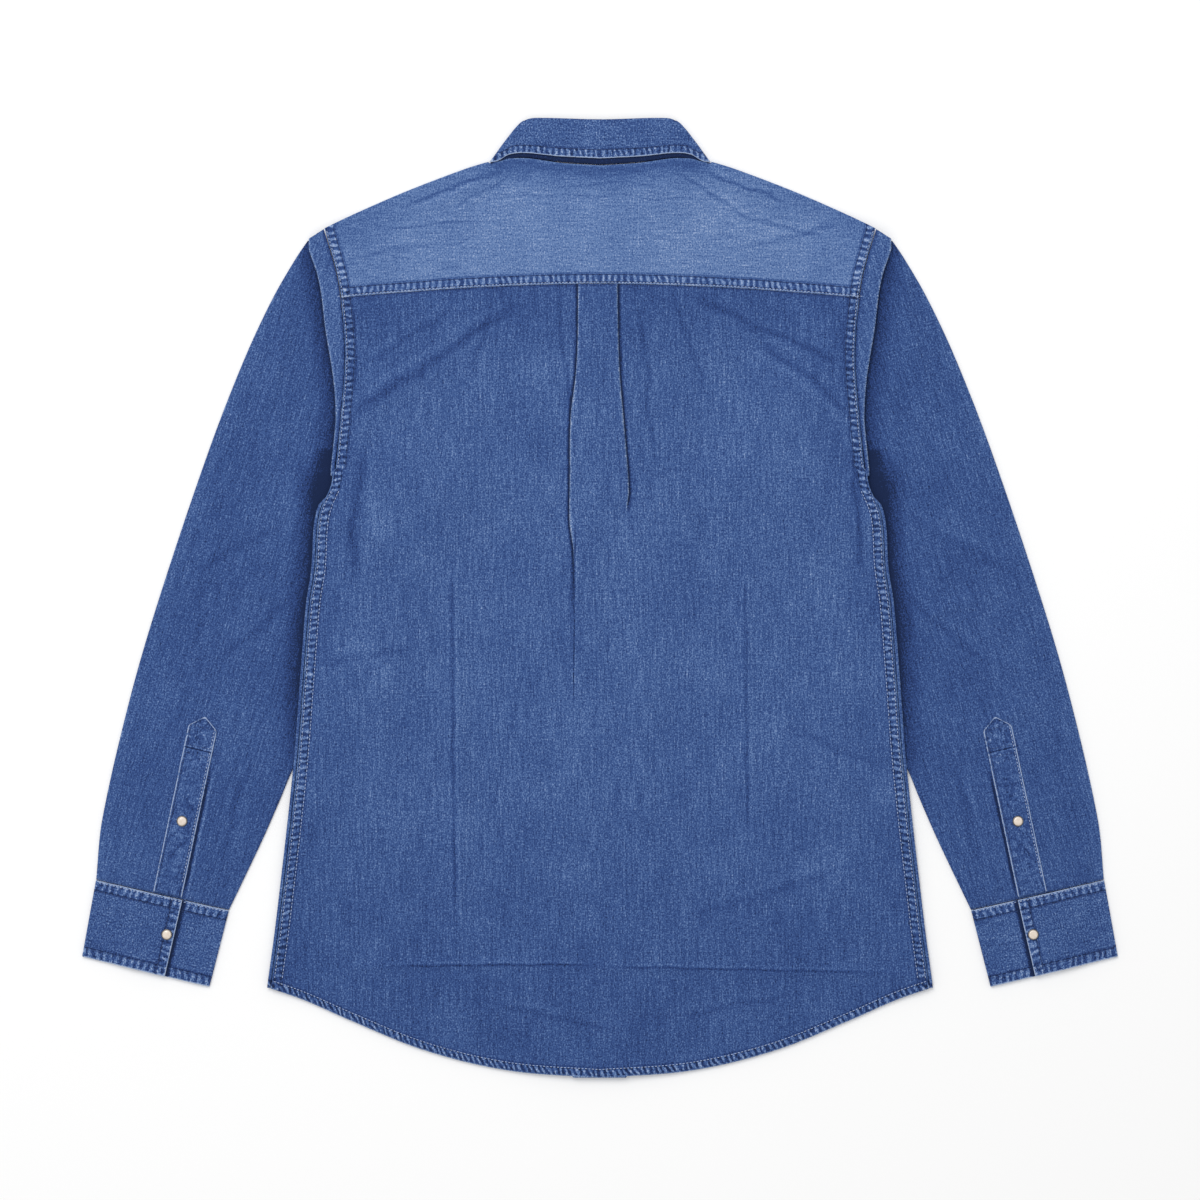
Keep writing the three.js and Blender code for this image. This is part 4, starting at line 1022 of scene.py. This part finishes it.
# Thread in pale or dark blue: short dashes that stand out along the puckered seams
def threadMaterial(name, hexCode, shadeHex):
    material, tree, shader = newMaterial(name)
    spot = addNode(tree, "ShaderNodeTexCoord").outputs["Object"]
    fuzz = addNode(tree, "ShaderNodeTexNoise", values={"Scale": 260.0, "Detail": 1.0}, links={"Vector": spot})
    ramp = addNode(tree, "ShaderNodeValToRGB", links={"Fac": fuzz.outputs[0]})
    ramp.color_ramp.elements[0].color = colour(shadeHex)
    ramp.color_ramp.elements[1].color = colour(hexCode)
    tree.links.new(ramp.outputs["Color"], shader.inputs["Base Color"])
    shader.inputs["Roughness"].default_value = 0.7
    return material


# Cast acrylic pearl: warm white with a cloudy pink shift under a clear gloss
def pearlMaterial():
    material, tree, shader = newMaterial("castPearl")
    spot = addNode(tree, "ShaderNodeTexCoord").outputs["Object"]
    cloud = addNode(tree, "ShaderNodeTexNoise", values={"Scale": 420.0, "Detail": 2.0},
                    links={"Vector": spot})
    ramp = addNode(tree, "ShaderNodeValToRGB", links={"Fac": cloud.outputs[0]})
    ramp.color_ramp.elements[0].color = colour("#cdb9a6")
    ramp.color_ramp.elements[1].color = colour("#f3eadf")
    tree.links.new(ramp.outputs["Color"], shader.inputs["Base Color"])
    shader.inputs["Roughness"].default_value = 0.22
    shader.inputs["IOR"].default_value = 1.5
    shader.inputs["Coat Weight"].default_value = 0.6
    shader.inputs["Coat Roughness"].default_value = 0.08
    return material


# Stamped nickel-plated brass: grey metal dulled by washing
def rimMaterial():
    material, tree, shader = newMaterial("stampedNickel")
    spot = addNode(tree, "ShaderNodeTexCoord").outputs["Object"]
    dull = addNode(tree, "ShaderNodeTexNoise", values={"Scale": 900.0, "Detail": 2.0}, links={"Vector": spot})
    spread = addNode(tree, "ShaderNodeMapRange", values={"To Min": 0.3, "To Max": 0.5},
                     links={"Value": dull.outputs[0]})
    shader.inputs["Base Color"].default_value = colour("#7d7a78")
    shader.inputs["Metallic"].default_value = 1.0
    tree.links.new(spread.outputs[0], shader.inputs["Roughness"])
    return material


# Rows of stitches: one short capsule every few millimetres along each line
threadColours = {"paleThread": ("#c6d5ef", "#8fa7d3"), "navyThread": ("#3a5084", "#1f3160")}
stitchLook = {"pitch": 3.0, "length": 2.3, "thickness": 0.62, "seed": 11}


def stitchNodes(material):
    tree = bpy.data.node_groups.new("stitchRows", "GeometryNodeTree")
    tree.interface.new_socket("Geometry", in_out="INPUT", socket_type="NodeSocketGeometry")
    sockets = {}
    for label, kind, value in (("Pitch", "NodeSocketFloat", stitchLook["pitch"] * mm),
                               ("Length", "NodeSocketFloat", stitchLook["length"] * mm),
                               ("Thickness", "NodeSocketFloat", stitchLook["thickness"] * mm),
                               ("Seed", "NodeSocketInt", stitchLook["seed"])):
        socket = tree.interface.new_socket(label, in_out="INPUT", socket_type=kind)
        socket.default_value = value
        sockets[label] = socket.identifier
    tree.interface.new_socket("Geometry", in_out="OUTPUT", socket_type="NodeSocketGeometry")
    source = addNode(tree, "NodeGroupInput").outputs
    curve = addNode(tree, "GeometryNodeMeshToCurve", links={"Mesh": source["Geometry"]})
    spots = addNode(tree, "GeometryNodeCurveToPoints", {"mode": "LENGTH"},
                    links={"Curve": curve.outputs[0], "Length": source["Pitch"]})
    turn = addNode(tree, "FunctionNodeAlignRotationToVector", {"axis": "X"},
                   links={"Vector": spots.outputs["Tangent"]})
    capsule = addNode(tree, "GeometryNodeMeshUVSphere", values={"Segments": 6, "Rings": 4, "Radius": 0.5})
    uneven = addNode(tree, "FunctionNodeRandomValue", {"data_type": "FLOAT"}, links={"Seed": source["Seed"]})
    uneven.inputs[2].default_value = 0.85
    uneven.inputs[3].default_value = 1.1
    longer = addNode(tree, "ShaderNodeMath", {"operation": "MULTIPLY"},
                     links={0: source["Length"], 1: uneven.outputs[1]})
    size = addNode(tree, "ShaderNodeCombineXYZ", links={"X": longer.outputs[0], "Y": source["Thickness"],
                                                        "Z": source["Thickness"]})
    placed = addNode(tree, "GeometryNodeInstanceOnPoints",
                     links={"Points": spots.outputs["Points"], "Instance": capsule.outputs["Mesh"],
                            "Rotation": turn.outputs[0], "Scale": size.outputs[0]})
    real = addNode(tree, "GeometryNodeRealizeInstances", links={"Geometry": placed.outputs[0]})
    coloured = addNode(tree, "GeometryNodeSetMaterial", links={"Geometry": real.outputs[0]})
    coloured.inputs["Material"].default_value = material
    output = addNode(tree, "NodeGroupOutput")
    tree.links.new(coloured.outputs[0], output.inputs[0])
    return tree, sockets


def makeStitches(name, rows, tree, sockets, material):
    mesh = bpy.data.meshes.new(name + "Lines")
    vertices, edges = [], []
    for row in rows:
        start = len(vertices)
        vertices += [(x * mm, (middleDrop - drop) * mm, z * mm) for x, drop, z in row]
        edges += [(start + k, start + k + 1) for k in range(len(row) - 1)]
    mesh.from_pydata(vertices, edges, [])
    lines = bpy.data.objects.new(name + "Lines", mesh)
    bpy.context.scene.collection.objects.link(lines)
    modifier = lines.modifiers.new("stitches", "NODES")
    modifier.node_group = tree
    modifier[sockets["Pitch"]] = stitchLook["pitch"] * mm
    modifier[sockets["Seed"]] = stitchLook["seed"]
    shown = lines.evaluated_get(bpy.context.evaluated_depsgraph_get())
    made = bpy.data.meshes.new_from_object(shown)
    made.shade_smooth()
    piece = bpy.data.objects.new(name, made)
    bpy.context.scene.collection.objects.link(piece)
    bpy.data.objects.remove(lines)
    if not made.materials:
        made.materials.append(material)
    return piece


threadLift = 0.12  # mm that a row of stitches lies above the cloth


def surfaceLine(points, top):
    x, drop = np.array(points, float).T
    return list(zip(x, drop, top(x, drop) + cloth["wall"] / 2 + threadLift))


def bodySurface(x, drop):
    onYoke = drop < yokeSeamDrop(np.abs(x))
    return np.where(onYoke, yokeTop(x, drop), backTop(x, drop))


def bodyRows():
    pale, dark = [], []
    x = np.linspace(-224, 224, 260)
    for inset, rows in ((1.3, pale), (7.9, dark)):  # yoke seam, two rows on the yoke
        rows.append(surfaceLine(np.stack([x, yokeSeamDrop(np.abs(x)) - inset], 1), yokeTop))
    for sign in (-1, 1):
        drop = np.linspace(99, 300, 120)
        for inset, rows in ((1.6, pale), (8.0, dark)):  # armhole, on the body
            x = sign * (through(armholeSeam, drop) - inset)
            rows.append(surfaceLine(np.stack([x, drop], 1), bodySurface))
        drop = np.linspace(322, 738, 200)
        for inset in (2.0, 8.6):  # side seam
            x = sign * (backReach(drop) - inset)
            pale.append(surfaceLine(np.stack([x, drop], 1), backTop))
    x = np.linspace(-279, 279, 320)
    pale.append(surfaceLine(np.stack([x, through(hemLine, np.abs(x)) - 7.0], 1), backTop))
    return pale, dark


def collarRows():
    share = 1 - 7.3 / fallCut["leaf"]
    radius = (fallCut["backHeight"] - fallCut["frontHeight"]) / 2
    foldDrop = blend(fallCut["foldStart"], fallCut["foldEnd"], share)
    arcReach = float(through(collarFoldLine, foldDrop)) - fallCut["foldInset"] - radius
    reach = np.linspace(-0.97, 0.97, 110) * arcReach
    middle = blend(rollDip(np.abs(reach)), through(collarLowerEdge, np.abs(reach)), share)
    drop = blend(middle, foldDrop, ease(0.85, 1, np.abs(reach) / arcReach))
    u = np.abs(reach) / arcReach
    height = fallCut["backHeight"] + fallCut["crown"] * math.sin(math.pi * share) * np.sqrt(1 - u ** 6)
    return [], [list(zip(reach, drop, height + fallCut["wall"] / 2 + threadLift))]


def cuffRows(sign):
    def top(along):
        under = cuffHigh + 0.6 * ease(1, 0.9, along) * ease(0.6, 0.72, along)
        return np.where(along <= cuffCut["edge"], cuffTop(along), under) + cuffCut["wall"] / 2 + threadLift

    def row(along, down):
        reach, drop = cuffPoint(along, down)
        return list(zip(sign * reach, drop + 0 * along, top(along) + 0 * down))
    depth, width, edge = cuffCut["depth"], cuffCut["width"], cuffCut["edge"]
    pale, dark = [], []
    for down, rows in ((1.4 / depth, pale), (9.2 / depth, dark), (1 - 7.4 / depth, dark)):
        for low, high in ((0.03, edge - 0.02), (edge + 0.02, 0.97)):
            rows.append(row(np.linspace(low, high, 60), down))
    down = np.linspace(0.03, 0.97, 50)
    dark.append(row(edge - 8.4 / width + 0 * down, down))
    return pale, dark


def placketRows(sign):
    def row(run, side):
        reach, drop = placketPoint(run, side)
        z = placketTop(sign, reach, drop) + placketCut["wall"] / 2 + threadLift
        return list(zip(sign * reach, drop, z + 0 * reach))
    run = np.linspace(9, placketLength - 14, 120)
    edge = placketCut["halfWidth"] - 2.0
    side = np.linspace(-edge, edge, 16)
    pale = [row(run, np.full(run.shape, edge * sign))]
    dark = [row(run, np.full(run.shape, -edge * sign))]
    dark += [row(np.full(side.shape, float(at)), side) for at in (9, 26, 33)]
    return pale, dark


# Scene: pale floor, soft light from above the collar, straight-down camera
view = {"width": 1.032, "lens": 85.0, "sensor": 36.0, "middleY": -0.00154, "floorHalf": 4.0}
light = {"world": 0.70, "key": 64.0, "keyPlace": (-0.9, 1.7, 3.1), "keySize": 2.2}


def makeStage():
    floorMesh = bpy.data.meshes.new("floor")
    half = view["floorHalf"]
    corners = [(-half, -half, 0), (half, -half, 0), (half, half, 0), (-half, half, 0)]
    floorMesh.from_pydata(corners, [], [(0, 1, 2, 3)])
    floor = bpy.data.objects.new("floor", floorMesh)
    bpy.context.scene.collection.objects.link(floor)
    material, tree, shader = newMaterial("whitePaper")
    spot = addNode(tree, "ShaderNodeTexCoord").outputs["Object"]
    grain = addNode(tree, "ShaderNodeTexNoise", values={"Scale": 60.0}, links={"Vector": spot})
    spread = addNode(tree, "ShaderNodeMapRange", values={"To Min": 0.9, "To Max": 1.0},
                     links={"Value": grain.outputs[0]})
    shader.inputs["Base Color"].default_value = colour("#fbfbfb")
    tree.links.new(spread.outputs[0], shader.inputs["Roughness"])
    shader.inputs["Specular IOR Level"].default_value = 0.1
    floorMesh.materials.append(material)
    world = bpy.data.worlds.new("softbox")
    world.use_nodes = True
    world.node_tree.nodes["Background"].inputs["Color"].default_value = (1, 1, 1, 1)
    world.node_tree.nodes["Background"].inputs["Strength"].default_value = light["world"]
    bpy.context.scene.world = world
    lampData = bpy.data.lights.new("key", "AREA")
    lampData.energy = light["key"]
    lampData.size = light["keySize"]
    lamp = bpy.data.objects.new("key", lampData)
    lamp.location = light["keyPlace"]
    lamp.rotation_euler = (-Vector(light["keyPlace"])).to_track_quat("-Z", "Y").to_euler()
    bpy.context.scene.collection.objects.link(lamp)
    cameraData = bpy.data.cameras.new("camera")
    cameraData.lens = view["lens"]
    cameraData.sensor_width = view["sensor"]
    camera = bpy.data.objects.new("camera", cameraData)
    camera.location = (0, view["middleY"], view["width"] * view["lens"] / view["sensor"])
    bpy.context.scene.collection.objects.link(camera)
    bpy.context.scene.camera = camera
    bpy.context.scene.view_settings.view_transform = "Standard"


def finishPiece(piece, material, nodes=(), flat=None, area=None):
    piece.data.materials.clear()
    piece.data.materials.append(material)
    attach(piece, "root")
    if nodes:
        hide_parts(*nodes)
    if flat:
        print(f"  {piece.name}: {area:.4f} m2 of {flat[0]:.3f} x {flat[1]:.3f} m")


# Cut size of each cloth piece, width and length in metres
flatSizes = {"yoke": (0.50, 0.175), "back": (0.60, 0.72), "front": (0.30, 0.80),
             "frontPlacket": (0.032, 0.71), "stand": (0.42, 0.09), "fall": (0.44, 0.09),
             "sleeve": (0.50, 0.64), "cuff": (0.25, 0.075), "placket": (0.028, 0.16)}


def build():
    print("cloth")
    fabrics = {key: denim(key + "Denim", look) for key, look in looks.items()}
    yoke, yokeArea = makeYoke()
    finishPiece(yoke, fabrics["yoke"], ["yoke"], flatSizes["yoke"], yokeArea)
    back, backArea = makeBack()
    finishPiece(back, fabrics["back"], ["back_panel"], flatSizes["back"], backArea)
    for name, sign, edge, sink, node in (("frontLeftCloth", -1, 18, 1.3, "front_left"),
                                         ("frontRightCloth", 1, -14, 0, "front_right")):
        front, area = makeFront(name, sign, edge, sink)
        finishPiece(front, fabrics["back"], [node], flatSizes["front"], area)
    placket, area = makeFrontPlacket()
    finishPiece(placket, fabrics["placket"], ["front_placket"], flatSizes["frontPlacket"], area)
    print("collar")
    stand, area = makeStand()
    finishPiece(stand, fabrics["stand"], ["collar_stand"], flatSizes["stand"], area)
    fall, area = makeFall()
    finishPiece(fall, fabrics["collar"], ["collar_fall"], flatSizes["fall"], area)
    print("sleeves")
    for side, sign in (("left", -1), ("right", 1)):
        label = side.capitalize()
        sleeve, area = makeSleeve("sleeve" + label + "Cloth", sign)
        finishPiece(sleeve, fabrics["sleeve"], ["sleeve_" + side], flatSizes["sleeve"], area)
        cuff, area = makeCuff("cuff" + label + "Cloth", sign)
        finishPiece(cuff, fabrics["cuff"], ["cuff_" + side], flatSizes["cuff"], area)
        strip, area = makePlacket("sleevePlacket" + label + "Cloth", sign)
        finishPiece(strip, fabrics["placket"], ["sleeve_placket_" + side],
                    flatSizes["placket"], area)
    print("snaps")
    pearl, rim = pearlMaterial(), rimMaterial()
    places = []
    for side, sign in (("left", -1), ("right", 1)):
        reach, drop = cuffPoint(*cuffSnap)
        base = float(cuffTop(cuffSnap[0])) + cuffCut["wall"] / 2 + snapCut["gap"]
        places.append(("snapCuff" + side.capitalize(), sign * reach, drop, base, "snap_cuff_" + side))
        reach, drop = placketSnap
        base = float(placketTop(sign, reach, drop)) + placketCut["wall"] / 2 + snapCut["gap"]
        places.append(("snapPlacket" + side.capitalize(), sign * reach, drop, base, "snap_placket_" + side))
    for k in range(frontSnaps["count"]):
        drop = frontSnaps["first"] + frontSnaps["spacing"] * k
        places.append((f"snapFront{k + 1}", 0, drop, 0.0, f"snap_front_{k + 1}"))
    for name, x, drop, base, node in places:
        for piece, material in zip(makeSnap(name, x, drop, base), (pearl, rim)):
            finishPiece(piece, material, [node])
    print("stitches")
    threads = [threadMaterial(name, *hexCodes) for name, hexCodes in threadColours.items()]
    rows = {"bodyStitches": bodyRows(), "collarStitches": collarRows(),
            "cuffLeftStitches": cuffRows(-1), "cuffRightStitches": cuffRows(1),
            "placketLeftStitches": placketRows(-1), "placketRightStitches": placketRows(1)}
    for label, thread, index in (("Pale", threads[0], 0), ("Navy", threads[1], 1)):
        tree, sockets = stitchNodes(thread)
        for name, pair in rows.items():
            if pair[index]:
                finishPiece(makeStitches(name + label, pair[index], tree, sockets, thread), thread)
    makeStage()
    print("done")


build()
